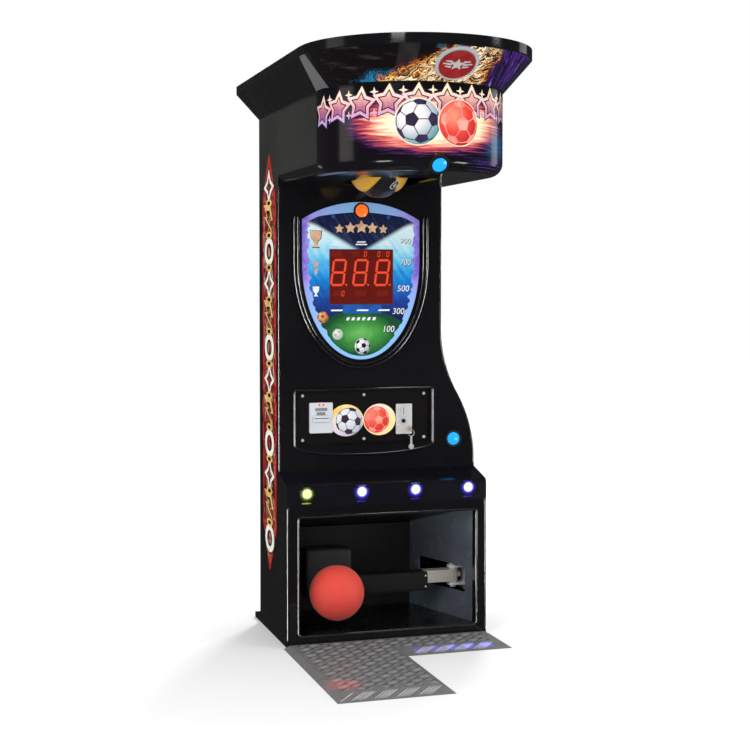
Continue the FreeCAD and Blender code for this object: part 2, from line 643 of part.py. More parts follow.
def lamp_bezels():
    rings = []
    for x in lamp_places():
        flange = ring(21, 16, V(x, FRONT_Y - 3, LAMP_Z), V(0, 1, 0), 3)
        barrel = ring(17, 16, V(x, FRONT_Y, LAMP_Z), V(0, 1, 0), 16)
        rings.append(fuse([flange, barrel]))
    return Part.makeCompound(rings)


def lamp_lenses():
    lenses = []
    for x in lamp_places():
        stem = cylinder(16, V(x, FRONT_Y - 2, LAMP_Z), V(0, 1, 0), 14)
        dome = Part.makeSphere(20, V(x, FRONT_Y + 10, LAMP_Z))
        dome = dome.common(cylinder(16, V(x, FRONT_Y - 20, LAMP_Z), V(0, 1, 0), 20))
        lenses.append(fuse([stem, dome]))
    return Part.makeCompound(lenses)


# ---- Push buttons ----------------------------------------------------------------------------------
BUTTON_TILT = math.radians(32.0)
BUTTON_OUT = V(0, -1, 0)
HOOD_OUT = V(0, -math.cos(BUTTON_TILT), -math.sin(BUTTON_TILT))
BARREL_RADIUS = 28.0
START_PLACE = V(TOWER_X, FASCIA_Y - PRINT_THICKNESS, 1717)
LOW_PLACE = V(322, FASCIA_Y, 787)
HOOD_PLACE = V(TOWER_X, HOOD_CENTRE_Y - HOOD_RADIUS + HOOD_ROUNDING, HOOD_LOW_Z + HOOD_ROUNDING)
HOOD_PLACE = HOOD_PLACE + HOOD_OUT * (HOOD_ROUNDING + 2)
BUTTONS = {"start": (START_PLACE, BUTTON_OUT, 30.0), "low": (LOW_PLACE, BUTTON_OUT, 36.0),
           "hood": (HOOD_PLACE, HOOD_OUT, 36.0)}


def button_hole(name):
    place, out, flange = BUTTONS[name]
    return cylinder(BARREL_RADIUS, place + out * 20, out * -1, 60)


def button_bezel(name):
    """Flange, threaded barrel and the switch block that closes its rear end."""
    place, out, flange = BUTTONS[name]
    collar = cylinder(flange, place, out, 6)
    rim = [edge for edge in collar.Edges if edge.Length > 6 * flange
           and (edge.CenterOfMass - place).dot(out) > 5]
    collar = collar.makeFillet(2.5, rim)
    barrel = cylinder(BARREL_RADIUS, place, out * -1, 32)
    bore = cylinder(CAP_RADIUS + CAP_GAP, place + out * 10, out * -1, 38)
    switch = cylinder(14, place + out * -32, out * -1, 20)
    return fuse([collar, barrel, switch]).cut(bore)


def button_bezels():
    return Part.makeCompound([button_bezel(name) for name in BUTTONS])


def button_cap(name):
    """Domed cap that slides in the barrel."""
    place, out, flange = BUTTONS[name]
    cap = cylinder(CAP_RADIUS, place + out * -20, out, 31)
    dome = Part.makeSphere(70, place + out * (11 - 70))
    reach = cylinder(CAP_RADIUS, place + out * -20, out, 60)
    return cap.common(dome.common(reach))


# ---- Fascia, score shield and display --------------------------------------------------------------
def coin_opening():
    return rounded_plate(COIN_LEFT_X, COIN_RIGHT_X, FASCIA_Y - 20, FASCIA_Y + 20, COIN_LOW_Z, COIN_HIGH_Z, 10)


def window_opening():
    return box(TOWER_X - WINDOW_HALF, TOWER_X + WINDOW_HALF, FASCIA_Y - 10, FASCIA_Y + 20,
               WINDOW_LOW_Z, WINDOW_HIGH_Z)


def shield_trim():
    """Raised double bead down both sides and round the tip of the shield."""
    outer = shield_face(FASCIA_Y, 36).extrude(V(0, -10, 0))
    inner = shield_face(FASCIA_Y + 1, 12).extrude(V(0, -20, 0))
    groove = shield_face(FASCIA_Y - 6, 26).extrude(V(0, -10, 0))
    groove = groove.cut(shield_face(FASCIA_Y - 5, 21).extrude(V(0, -12, 0)))
    top = box(-500, 400, FASCIA_Y - 20, FASCIA_Y + 5, SHIELD_CORNER_Z + 14, 1900)
    return cut_all(outer, [inner, groove, top])


def fascia_panel():
    """Tall moulded front with the shield's raised bead on it."""
    skin = tower_face(FASCIA_Y, 0, LEDGE_TOP_Z, CARCASE_TOP_Z).extrude(V(0, FASCIA_THICKNESS, 0))
    holes = [coin_opening(), window_opening(), button_hole("start"), button_hole("low")]
    return fuse([cut_all(skin, holes), shield_trim()])


def shield_panel():
    print_sheet = shield_face(FASCIA_Y, 0).extrude(V(0, -PRINT_THICKNESS, 0))
    return cut_all(print_sheet, [window_opening(), button_hole("start")])


def display_window():
    return box(TOWER_X - WINDOW_HALF, TOWER_X + WINDOW_HALF, FASCIA_Y - PRINT_THICKNESS, FASCIA_Y,
               WINDOW_LOW_Z, WINDOW_HIGH_Z)


def display_board():
    """Circuit board behind the window, with three large digits and small counters soldered on."""
    margin = 18
    rear = FASCIA_Y + FASCIA_THICKNESS
    pieces = [box(TOWER_X - WINDOW_HALF - margin, TOWER_X + WINDOW_HALF + margin, rear, rear + 2,
                  WINDOW_LOW_Z - margin, WINDOW_HIGH_Z + margin)]
    for step in (-1, 0, 1):
        x = TOWER_X + 86 * step
        pieces.append(box(x - 38, x + 38, rear - 8, rear, 1408, 1524))
        pieces.append(box(x - 38, x + 38, rear - 6, rear, 1532, 1556))
        pieces.append(box(x - 38, x + 38, rear - 6, rear, 1348, 1400))
    return fuse(pieces)


# ---- Coin panel ------------------------------------------------------------------------------------
COIN_FACE_Y = FASCIA_Y + COIN_RECESS
COIN_REAR_Y = COIN_FACE_Y + 3
LOCK_PLACE_X = 132.0
LOCK_PLACE_Z = 834.0


def coin_surround():
    """Raised rim round the coin panel, bowed along its lower edge."""
    y = FASCIA_Y
    left, right = COIN_LEFT_X - 21, COIN_RIGHT_X + 21
    high, low, bow = COIN_HIGH_Z + 10, COIN_LOW_Z - 8, COIN_LOW_Z - 50
    middle = (left + right) / 2
    rim = face_of([line(V(left, y, high), V(right, y, high)), line(V(right, y, high), V(right, y, low)),
                   Part.Arc(V(right, y, low), V(middle, y, bow), V(left, y, low)).toShape(),
                   line(V(left, y, low), V(left, y, high))]).extrude(V(0, -9, 0))
    rim = rim.makeFillet(16, edges_along(rim, V(0, 1, 0)))
    front = [edge for edge in rim.Edges if abs(edge.BoundBox.YMax - (FASCIA_Y - 9)) < 0.01]
    rim = rim.makeFillet(5, front)
    dish = rounded_plate(COIN_LEFT_X - 8, COIN_RIGHT_X + 8, FASCIA_Y - 20, FASCIA_Y - 4,
                         COIN_LOW_Z - 8, COIN_HIGH_Z + 4, 12)
    return cut_all(rim, [coin_opening(), dish])


def screw_places():
    middle = (COIN_LEFT_X + COIN_RIGHT_X) / 2
    return [(x, z) for x in (COIN_LEFT_X + 22, middle, COIN_RIGHT_X - 22)
            for z in (COIN_LOW_Z + 18, COIN_HIGH_Z - 20)]


def bill_outline():
    return (-289.0, -193.0, 826.0, 948.0)


def coin_panel():
    left, right, low, high = bill_outline()
    plate = rounded_plate(COIN_LEFT_X + 1, COIN_RIGHT_X - 1, COIN_FACE_Y, COIN_REAR_Y,
                          COIN_LOW_Z + 1, COIN_HIGH_Z - 1, 9)
    holes = [cylinder(2.5, V(x, COIN_FACE_Y - 5, z), V(0, 1, 0), 20) for x, z in screw_places()]
    holes.append(box(left + 6, right - 6, COIN_FACE_Y - 5, COIN_REAR_Y + 5, low + 6, high - 6))
    holes.append(box(88, 133, COIN_FACE_Y - 5, COIN_REAR_Y + 5, 854, 926))
    holes.append(cylinder(9, V(LOCK_PLACE_X, COIN_FACE_Y - 5, LOCK_PLACE_Z), V(0, 1, 0), 20))
    return cut_all(plate, holes)


def coin_panel_screws():
    screws = []
    for x, z in screw_places():
        head = cylinder(6, V(x, COIN_FACE_Y - 3, z), V(0, 1, 0), 3)
        rim = [edge for edge in head.Edges if edge.CenterOfMass.y < COIN_FACE_Y - 2.5]
        head = head.makeFillet(1.6, rim)
        shank = cylinder(2.5, V(x, COIN_FACE_Y, z), V(0, 1, 0), 16)
        screws.append(fuse([head, shank]))
    return Part.makeCompound(screws)


def bill_validator():
    """Banknote reader: bezel with its mouth in front, box and stacker behind."""
    left, right, low, high = bill_outline()
    bezel = rounded_plate(left, right, COIN_FACE_Y - 9, COIN_FACE_Y, low, high, 5)
    lip = rounded_plate(left + 14, right - 14, COIN_FACE_Y - 17, COIN_FACE_Y - 9, 872, 896, 4)
    mouth = box(left + 18, right - 18, COIN_FACE_Y - 20, COIN_FACE_Y + 10, 884, 887)
    body = box(left + 6, right - 6, COIN_FACE_Y, COIN_FACE_Y + 90, low + 6, high - 6)
    stacker = box(left + 10, right - 10, COIN_FACE_Y + 20, COIN_FACE_Y + 88, low - 60, low + 6)
    return fuse([bezel, lip, body, stacker]).cut(mouth)


def coin_acceptor():
    """Brushed entry plate with a raised slot, the return button's collar and the selector behind."""
    plate = rounded_plate(76, 145, COIN_FACE_Y - 2, COIN_FACE_Y, 812, 935, 4)
    entry = rounded_plate(96, 118, COIN_FACE_Y - 7, COIN_FACE_Y - 2, 886, 926, 6)
    slot = box(105, 109, COIN_FACE_Y - 8, COIN_FACE_Y + 1, 891, 921)
    collar = cylinder(13, V(107, COIN_FACE_Y - 2, 866), V(0, -1, 0), 4)
    bore = cylinder(8.5, V(107, COIN_FACE_Y - 10, 866), V(0, 1, 0), 34)
    lock = cylinder(9, V(LOCK_PLACE_X, COIN_FACE_Y - 5, LOCK_PLACE_Z), V(0, 1, 0), 20)
    selector = box(89, 132, COIN_FACE_Y, COIN_FACE_Y + 60, 855, 925)
    chute = box(92, 120, COIN_FACE_Y + 20, COIN_FACE_Y + 56, 705, 855)
    return cut_all(fuse([plate, entry, collar, selector, chute]), [slot, bore, lock])


def coin_return_button():
    stem = cylinder(8.2, V(107, COIN_FACE_Y - 12, 866), V(0, 1, 0), 26)
    rim = [edge for edge in stem.Edges if abs(edge.CenterOfMass.y - COIN_FACE_Y + 12) < 0.01]
    return stem.makeFillet(2, rim)


def coin_lock():
    """Lock cylinder with a collar, and a keyway bored round for the key's shaft."""
    barrel = cylinder(9, V(LOCK_PLACE_X, COIN_FACE_Y - 2, LOCK_PLACE_Z), V(0, 1, 0), 28)
    collar = cylinder(11.5, V(LOCK_PLACE_X, COIN_FACE_Y - 6, LOCK_PLACE_Z), V(0, 1, 0), 4)
    bore = cylinder(3.1, V(LOCK_PLACE_X, COIN_FACE_Y - 8, LOCK_PLACE_Z), V(0, 1, 0), 26)
    return fuse([barrel, collar]).cut(bore)


KEY_HOLE_Y = COIN_FACE_Y - 31.0
KEY_HOLE_Z = LOCK_PLACE_Z - 4.0


def lock_key():
    """Key standing in the lock, its bow upright, with an eye for the ring."""
    shaft = cylinder(3, V(LOCK_PLACE_X, COIN_FACE_Y - 22, LOCK_PLACE_Z), V(0, 1, 0), 36)
    bow = box(LOCK_PLACE_X - 1.2, LOCK_PLACE_X + 1.2, COIN_FACE_Y - 37, COIN_FACE_Y - 19,
              LOCK_PLACE_Z - 11, LOCK_PLACE_Z + 11)
    bow = bow.makeFillet(5, edges_along(bow, V(1, 0, 0)))
    eye = cylinder(2.6, V(LOCK_PLACE_X - 5, KEY_HOLE_Y, KEY_HOLE_Z), V(1, 0, 0), 10)
    return fuse([shaft, bow]).cut(eye)


def hanging_keys():
    """Ring through the key's eye with a second key and a blank tag hanging from it."""
    ring_radius = 13.0
    wire = 1.1
    centre = V(LOCK_PLACE_X, KEY_HOLE_Y, KEY_HOLE_Z - ring_radius + 1.0)
    loop = Part.makeTorus(ring_radius, wire, centre, V(0, 1, 0))
    low_z = centre.z - ring_radius
    blade = box(LOCK_PLACE_X - 4, LOCK_PLACE_X + 4, KEY_HOLE_Y - 1, KEY_HOLE_Y + 1, low_z - 34, low_z + 1)
    bow = cylinder(11, V(LOCK_PLACE_X, KEY_HOLE_Y - 1, low_z - 42), V(0, 1, 0), 2)
    return fuse([loop, blade, bow])


def cash_box():
    outer = box(20, 200, -90, 110, LEDGE_TOP_Z - SKIN, 700)
    hollow = box(23, 197, -87, 107, LEDGE_TOP_Z - SKIN + 3, 705)
    return outer.cut(hollow)


# ---- Hood, top and visor ---------------------------------------------------------------------------
def front_bottom_edges(shape, low_z):
    """Edges of the lowest face, without the straight one along its back."""
    found = []
    for edge in shape.Edges:
        level = abs(edge.BoundBox.ZMax - low_z) < 0.01 and abs(edge.BoundBox.ZMin - low_z) < 0.01
        back = edge.BoundBox.YMin > FASCIA_Y - 1
        if level and not back:
            found.append(edge)
    return found


def hood_block(inset, low_z, rounding):
    block = hood_face(low_z, inset, FASCIA_Y).extrude(V(0, 0, CARCASE_TOP_Z - low_z))
    return block.makeFillet(rounding, front_bottom_edges(block, low_z))


def hood_shell():
    """Moulded hood with a floor; the punch bag swings out through the well in the floor."""
    outer = hood_block(0, HOOD_LOW_Z, HOOD_ROUNDING)
    inner = hood_block(HOOD_WALL, HOOD_LOW_Z + HOOD_WALL, HOOD_ROUNDING - HOOD_WALL)
    shell = outer.cut(inner)
    boss = cylinder(38, HOOD_PLACE, HOOD_OUT * -1, 24)
    well = box(TOWER_X - WELL_HALF, TOWER_X + WELL_HALF, WELL_FRONT_Y, WELL_REAR_Y, HOOD_LOW_Z - 5, HOOD_LOW_Z + 20)
    well = well.makeFillet(40, edges_along(well, V(0, 0, 1)))
    return cut_all(fuse([shell, boss]), [well, button_hole("hood")])


def visor_solid(inset):
    rim_z = VISOR_TOP_Z - VISOR_RIM
    flare = Part.makeLoft([visor_wire(TOP_BOARD_Z, 0, inset), visor_wire(rim_z, 1, inset)], True, True)
    band = Part.Face(visor_wire(rim_z, 1, inset)).extrude(V(0, 0, VISOR_RIM))
    return fuse([flare, band])


def visor_shell():
    """Flared skin round the top of the machine, with an upright rim and a roof just below it."""
    skin = visor_solid(0).cut(visor_solid(VISOR_WALL))
    roof = Part.Face(visor_wire(VISOR_TOP_Z - 18, 1, VISOR_WALL - 1)).extrude(V(0, 0, 12))
    return fuse([skin, roof]).cut(badge_socket())


BADGE_RADIUS = 76.0
BADGE_DEPTH = 6.0
BADGE_LEAN = math.atan2(VISOR_FLARE - VISOR_SHIFT_Y, VISOR_TOP_Z - VISOR_RIM - TOP_BOARD_Z)
BADGE_OUT = V(0, -math.cos(BADGE_LEAN), -math.sin(BADGE_LEAN))
BADGE_PLACE = V(-38, (2 * HOOD_CENTRE_Y - 2 * HOOD_RADIUS - VISOR_FLARE + VISOR_SHIFT_Y) / 2,
                (TOP_BOARD_Z + VISOR_TOP_Z - VISOR_RIM) / 2 + 6)


def visor_badge():
    """Round plaque with a raised rim on the visor's front."""
    back = BADGE_PLACE - BADGE_OUT * BADGE_DEPTH
    rim = ring(BADGE_RADIUS, BADGE_RADIUS - 12, back, BADGE_OUT, BADGE_DEPTH + 9)
    return fuse([rim, cylinder(BADGE_RADIUS - 12, back, BADGE_OUT, BADGE_DEPTH + 6)])


def badge_socket():
    return cylinder(BADGE_RADIUS, BADGE_PLACE - BADGE_OUT * BADGE_DEPTH, BADGE_OUT, 40)


# ---- Punch bag -------------------------------------------------------------------------------------
STRIKER_Y = BAG_PIVOT_Y + 42.0
STRIKER_Z = BAG_PIVOT_Z + 50.0
STRIKER_RADIUS = 5.0
BOLT_RADIUS = 6.0


def bolt_line():
    """Point on the latch bolt's axis: just past the striker's pin on its way down."""
    swing = math.hypot(STRIKER_Y - BAG_PIVOT_Y, STRIKER_Z - BAG_PIVOT_Z)
    gap = STRIKER_RADIUS + BOLT_RADIUS + 0.5
    y = STRIKER_Y + gap * (STRIKER_Z - BAG_PIVOT_Z) / swing
    z = STRIKER_Z - gap * (STRIKER_Y - BAG_PIVOT_Y) / swing
    return y, z


def bag_frame():
    """Two cheeks and a top plate under the top board, with the latch's solenoid on one cheek."""
    half = WELL_HALF + 12
    pieces = [box(TOWER_X - half, TOWER_X + half, BAG_PIVOT_Y - 60, BAG_PIVOT_Y + 120,
                  CARCASE_TOP_Z - 6, CARCASE_TOP_Z)]
    cheek = [(BAG_PIVOT_Y - 40, HOOD_LOW_Z + HOOD_WALL), (BAG_PIVOT_Y + 40, HOOD_LOW_Z + HOOD_WALL),
             (BAG_PIVOT_Y + 120, 1985), (BAG_PIVOT_Y + 120, CARCASE_TOP_Z),
             (BAG_PIVOT_Y - 60, CARCASE_TOP_Z)]
    for side in (-1, 1):
        near = TOWER_X + side * half
        far = TOWER_X + side * (half - 6)
        pieces.append(prism_x(cheek, min(near, far), max(near, far)))
    y, z = bolt_line()
    pieces.append(box(TOWER_X + 66, TOWER_X + half - 3, y - 24, y + 24, z - 24, z + 24))
    shaft = cylinder(BAG_SHAFT_RADIUS, V(TOWER_X - half - 5, BAG_PIVOT_Y, BAG_PIVOT_Z), V(1, 0, 0), 2 * half + 10)
    bolt = cylinder(BOLT_RADIUS + RUNNING_FIT, V(TOWER_X + 60, y, z), V(1, 0, 0), half - 66)
    return cut_all(fuse(pieces), [shaft, bolt])


def bag_shaft():
    half = WELL_HALF + 18
    return cylinder(BAG_SHAFT_RADIUS, V(TOWER_X - half, BAG_PIVOT_Y, BAG_PIVOT_Z), V(1, 0, 0), 2 * half)


def bag_arm():
    """Hub on the shaft, rod to the bag, round cap plate and the striker that the latch holds."""
    hub = cylinder(22, V(TOWER_X - 45, BAG_PIVOT_Y, BAG_PIVOT_Z), V(1, 0, 0), 90)
    rod = cylinder(14, V(TOWER_X, BAG_PIVOT_Y, BAG_PIVOT_Z), V(0, 1, 0), 72)
    cap = cylinder(38, V(TOWER_X, BAG_PIVOT_Y + 70, BAG_PIVOT_Z), V(0, 1, 0), 8)
    striker = box(TOWER_X - 3, TOWER_X + 3, STRIKER_Y - 32, STRIKER_Y + 7, BAG_PIVOT_Z + 12, STRIKER_Z + 7)
    pin = cylinder(STRIKER_RADIUS, V(TOWER_X - 18, STRIKER_Y, STRIKER_Z), V(1, 0, 0), 36)
    bore = cylinder(BAG_SHAFT_RADIUS + RUNNING_FIT, V(TOWER_X - 50, BAG_PIVOT_Y, BAG_PIVOT_Z), V(1, 0, 0), 100)
    return fuse([hub, rod, cap, striker, pin]).cut(bore)


def punch_bag():
    """Drop-shaped leather bag, lying level with its round end to the rear."""
    neck_y = BAG_PIVOT_Y + 78
    bulb_y = BAG_PIVOT_Y + BAG_REACH
    points = [V(TOWER_X, neck_y, BAG_PIVOT_Z + 36), V(TOWER_X, neck_y + 42, BAG_PIVOT_Z + 58),
              V(TOWER_X, neck_y + 110, BAG_PIVOT_Z + 103), V(TOWER_X, bulb_y, BAG_PIVOT_Z + BAG_RADIUS),
              V(TOWER_X, bulb_y + 86, BAG_PIVOT_Z + 85), V(TOWER_X, bulb_y + 119, BAG_PIVOT_Z)]
    curve = Part.BSplineCurve()
    curve.interpolate(points, InitialTangent=V(0, 1, 0.3), FinalTangent=V(0, 0, -1))
    centre = V(TOWER_X, neck_y, BAG_PIVOT_Z)
    half = face_of([curve.toShape(), line(points[-1], centre), line(centre, points[0])])
    return half.revolve(centre, V(0, 1, 0), 360)


def latch_bolt():
    """Solenoid bolt, drawn back; pushed out, its tip stands under the striker's pin."""
    y, z = bolt_line()
    bolt = cylinder(BOLT_RADIUS, V(TOWER_X + 24, y, z), V(1, 0, 0), 90)
    collar = cylinder(10, V(TOWER_X + 44, y, z), V(1, 0, 0), 5)
    return fuse([bolt, collar])


# ---- Electrics -------------------------------------------------------------------------------------
def power_supply():
    wall = -HALF_WIDTH + PANEL
    return box(wall, wall + 50, -20, 90, 1010, 1210)


def control_board():
    """Circuit board on four posts."""
    wall = -HALF_WIDTH + PANEL
    board = box(wall + 10, wall + 12, -90, 110, 1290, 1450)
    chips = [box(wall + 12, wall + 20, -60 + 50 * step, -35 + 50 * step, 1340, 1400) for step in range(3)]
    posts = [cylinder(4, V(wall, y, z), V(1, 0, 0), 10) for y in (-80, 100) for z in (1300, 1440)]
    return fuse([board] + chips + posts)


# ---- Export ----------------------------------------------------------------------------------------
def build():
    """Every node of the machine by name."""
    nodes = {
        "base_board": base_board(),
        "wheel_brackets": Part.makeCompound([wheel_bracket(x) for x in wheel_sides()]),
        "plate_board": plate_board(),
        "tread_plate": tread_plate(),
        "left_side_panel": left_side_panel(),
        "right_side_panel": right_side_panel(),
        "back_panel": back_panel(),
        "power_inlet": power_inlet(),
        "top_board": top_board(),
        "mid_shelf": mid_shelf(),
        "back_door": back_door(),
        "door_hinge_fixed": Part.makeCompound([fixed_hinge(z) for z in DOOR_HINGE_BASES]),
        "door_hinge_moving": Part.makeCompound([moving_hinge(z) for z in DOOR_HINGE_BASES]),
        "door_lock_cam": door_lock_cam(),
        "front_frame": front_frame(),
        "chamber_floor": chamber_floor(),
        "chamber_back": chamber_back(),
        "chamber_ceiling": chamber_ceiling(),
        "chamber_right": chamber_right(),
        "stop_block": stop_block(),
        "hinge_bracket": hinge_bracket(),
        "hinge_pin": hinge_pin(),
        "hinge_bushes": hinge_bushes(),
        "kick_arm": kick_arm(),
        "kick_sleeve": kick_sleeve(),
        "kick_ball": kick_ball(),
        "return_spring": return_spring(),
        "ledge_moulding": ledge_moulding(),
        "lamp_bezels": lamp_bezels(),
        "lamp_lenses": lamp_lenses(),
        "button_bezels": button_bezels(),
        "fascia_panel": fascia_panel(),
        "shield_panel": shield_panel(),
        "display_window": display_window(),
        "display_board": display_board(),
        "coin_surround": coin_surround(),
        "coin_panel": coin_panel(),
        "coin_panel_screws": coin_panel_screws(),
        "bill_validator": bill_validator(),
        "coin_acceptor": coin_acceptor(),
        "coin_return_button": coin_return_button(),
        "coin_lock": coin_lock(),
        "lock_key": lock_key(),
        "hanging_keys": hanging_keys(),
        "cash_box": cash_box(),
        "hood_shell": hood_shell(),
        "visor_shell": visor_shell(),
        "visor_badge": visor_badge(),
        "bag_frame": bag_frame(),
        "bag_shaft": bag_shaft(),
        "bag_arm": bag_arm(),
        "punch_bag": punch_bag(),
        "latch_bolt": latch_bolt(),
        "power_supply": power_supply(),
        "control_board": control_board(),
    }
    for side, x in zip(("left", "right"), wheel_sides()):
        nodes["transport_wheel_" + side] = transport_wheel(x)
    for name in BUTTONS:
        nodes[name + "_button_cap"] = button_cap(name)
    return nodes


def main():
    os.makedirs(STEP_FOLDER, exist_ok=True)
    for name, shape in build().items():
        shape.exportStep(os.path.join(STEP_FOLDER, name + ".step"))
        print(name, "solids", len(shape.Solids), "valid", shape.isValid(), "litres", round(shape.Volume / 1e6, 3))


main()
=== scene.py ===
import math

import bmesh
import bpy
import numpy as np
from mathutils import Euler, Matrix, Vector
from mathutils.bvhtree import BVHTree
from mathutils.geometry import delaunay_2d_cdt


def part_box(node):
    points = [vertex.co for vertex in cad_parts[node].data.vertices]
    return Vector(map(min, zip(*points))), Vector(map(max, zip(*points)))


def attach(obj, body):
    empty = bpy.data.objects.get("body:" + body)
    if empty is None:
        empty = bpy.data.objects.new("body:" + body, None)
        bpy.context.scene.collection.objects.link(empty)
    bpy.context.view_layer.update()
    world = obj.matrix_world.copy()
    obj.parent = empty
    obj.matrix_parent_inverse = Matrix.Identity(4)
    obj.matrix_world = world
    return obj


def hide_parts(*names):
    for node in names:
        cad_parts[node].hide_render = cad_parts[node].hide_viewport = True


bl_info = {
    "name": "Kick and punch machine",
    "version": (1, 0, 0),
    "blender": (4, 5, 0),
    "location": "View3D > Sidebar > Punch machine",
    "description": "Finishes, prints, lamps and soft pieces of a kick and punch machine",
    "category": "Object",
}

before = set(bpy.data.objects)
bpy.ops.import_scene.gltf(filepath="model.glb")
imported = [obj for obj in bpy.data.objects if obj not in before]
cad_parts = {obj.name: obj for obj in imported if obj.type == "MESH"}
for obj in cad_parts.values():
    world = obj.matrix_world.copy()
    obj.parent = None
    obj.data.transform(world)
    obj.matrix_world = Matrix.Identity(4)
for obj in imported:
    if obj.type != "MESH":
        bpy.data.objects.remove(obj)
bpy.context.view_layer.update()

# ---- Places on the cabinet, in metres ----
TOWER_X = -0.0725
HOOD_RADIUS = 0.3425
HOOD_CENTRE_Y = -0.739
HOOD_ROUNDING = 0.045
HOOD_LOW_Z = 1.81
VISOR_LOW_Z = 2.106
VISOR_BREAK_Z = 2.216
VISOR_FLARE = 0.08
VISOR_REACH = 0.064
SHIELD_FACE_Y = -0.153
SHIELD_HALF = 0.247
SHIELD_TOP_Z = 1.753
SHIELD_CORNER_Z = 1.681
SHIELD_WAIST_Z = 1.505
SHIELD_TIP_Z = 1.118
COIN_FACE_Y = -0.145
SIDE_FACE_X = -0.415
BAG_AXIS_Z = 1.876
# The ways in which a surface is felt for, and a depth in front of everything
BACKWARD = Vector((0, 1, 0))
DOWNWARD = Vector((0, 0, -1))
AHEAD_Y = -2.0
# Printed films: the attribute that keeps their places, one film's thickness, how closely they are meshed
PRINT = "print"
FILM = 0.0002
COARSE, MEDIUM, FINE, FINER = 0.03, 0.02, 0.012, 0.01


# ---- Node recipes ----
def joined(operation, swapped=False):
    """An operator of Level that adds one Math step."""
    return lambda self, other: self.work(operation, *((other, self) if swapped else (self, other)))


class Level:
    """A number that varies over a surface. Arithmetic on it adds Math steps."""

    __add__ = __radd__ = joined("ADD")
    __mul__ = __rmul__ = joined("MULTIPLY")
    __sub__, __rsub__ = joined("SUBTRACT"), joined("SUBTRACT", swapped=True)
    __truediv__ = joined("DIVIDE")

    def __init__(self, recipe, socket):
        self.recipe, self.socket = recipe, socket

    def work(self, operation, first, second=0.0, clamp=False):
        feeds = {0: first, 1: second}
        return Level(self.recipe, self.recipe.step("ShaderNodeMath", feeds, operation=operation, use_clamp=clamp))

    def clamped(self):
        return self.work("ADD", self, 0.0, clamp=True)

    def size(self):
        return self.work("ABSOLUTE", self)

    def sine(self):
        return self.work("SINE", self)

    def to_power(self, power):
        return self.work("POWER", self, power)

    def rise(self, low, high):
        """0 below low and 1 above high, with a soft step between; low may be the larger."""
        feeds = {"Value": self, "From Min": low, "From Max": high}
        return Level(self.recipe, self.recipe.step("ShaderNodeMapRange", feeds, interpolation_type="SMOOTHSTEP"))


class Recipe:
    """A node material being made. Each call adds one step and hands back its output."""

    def __init__(self, name):
        self.material = bpy.data.materials.new(name)
        self.material.use_nodes = True
        self.tree = self.material.node_tree
        self.shader = self.tree.nodes["Principled BSDF"]

    def feed(self, socket, value):
        if isinstance(value, Level):
            value = value.socket
        if isinstance(value, bpy.types.NodeSocket):
            self.tree.links.new(value, socket)
        elif isinstance(value, tuple) and len(value) == 3 and socket.type == "RGBA":
            socket.default_value = (*value, 1.0)
        else:
            socket.default_value = value

    def step(self, kind, feeds=None, out=0, **settings):
        node = self.tree.nodes.new(kind)
        for key, value in settings.items():
            setattr(node, key, value)
        for key, value in (feeds or {}).items():
            self.feed(node.inputs[key], value)
        return node.outputs[out]

    def split(self, vector):
        node = self.tree.nodes.new("ShaderNodeSeparateXYZ")
        self.feed(node.inputs[0], vector)
        return tuple(Level(self, socket) for socket in node.outputs)

    def vector(self, x, y, z=0.0):
        return self.step("ShaderNodeCombineXYZ", {0: x, 1: y, 2: z})

    def where(self):
        """Where a point lies on the piece, in metres, as one vector."""
        return self.step("ShaderNodeTexCoord", out="Object")

    def place(self):
        """Where a point lies on the piece, in metres, as three levels."""
        return self.split(self.where())

    def print_place(self):
        """Where a point lies on a printed film: along it, and height."""
        return self.split(self.step("ShaderNodeAttribute", attribute_name=PRINT, out="Vector"))

    def noise(self, where, scale, detail=3.0, rough=0.5, warp=0.0):
        feeds = {"Vector": where, "Scale": scale, "Detail": detail, "Roughness": rough, "Distortion": warp}
        return Level(self, self.step("ShaderNodeTexNoise", feeds))

    def cells(self, where, scale, feature="F1"):
        return Level(self, self.step("ShaderNodeTexVoronoi", {"Vector": where, "Scale": scale}, feature=feature))

    def tones(self, level, *stops):
        """Colour from stops of (level, colour)."""
        node = self.tree.nodes.new("ShaderNodeValToRGB")
        ramp = node.color_ramp
        while len(ramp.elements) < len(stops):
            ramp.elements.new(0.5)
        for element, (at, colour) in zip(ramp.elements, stops):
            element.position, element.color = at, (*colour, 1.0)
        self.feed(node.inputs[0], level)
        return node.outputs[0]

    def over(self, level, under, on_top):
        """on_top painted over under, as strong as level, which the step holds between 0 and 1."""
        return self.step("ShaderNodeMix", {0: level, 6: under, 7: on_top}, out=2, data_type="RGBA")

    def bump(self, height, depth, under=None):
        feeds = {"Height": height, "Distance": depth, "Strength": 1.0}
        if under is not None:
            feeds["Normal"] = under
        return self.step("ShaderNodeBump", feeds)

    def finish(self, colour, rough, height, depth, under=None, **more):
        """Sets the shader: its colour, roughness, relief of that height and depth, and the rest by plain names."""
        normal = self.bump(height, depth, under)
        sockets = {"colour": colour, "rough": rough.clamped(), "normal": normal, **more}
        names = {
            "colour": "Base Color", "rough": "Roughness", "metal": "Metallic", "normal": "Normal",
            "coat": "Coat Weight", "coat_rough": "Coat Roughness", "specular": "Specular IOR Level",
            "sheen": "Sheen Weight", "sheen_rough": "Sheen Roughness", "brushed": "Anisotropic",
            "soft": "Subsurface Weight", "soft_scale": "Subsurface Scale", "glow": "Emission Color",
            "glow_power": "Emission Strength", "ior": "IOR",
        }
        for key, value in sockets.items():
            self.feed(self.shader.inputs[names[key]], value)
        return self.material


MADE = {}


def once(maker):
    """Makes each named finish only once."""
    def keep(name, *sizes, **more):
        if name not in MADE:
            MADE[name] = maker(name, *sizes, **more)
        return MADE[name]
    return keep


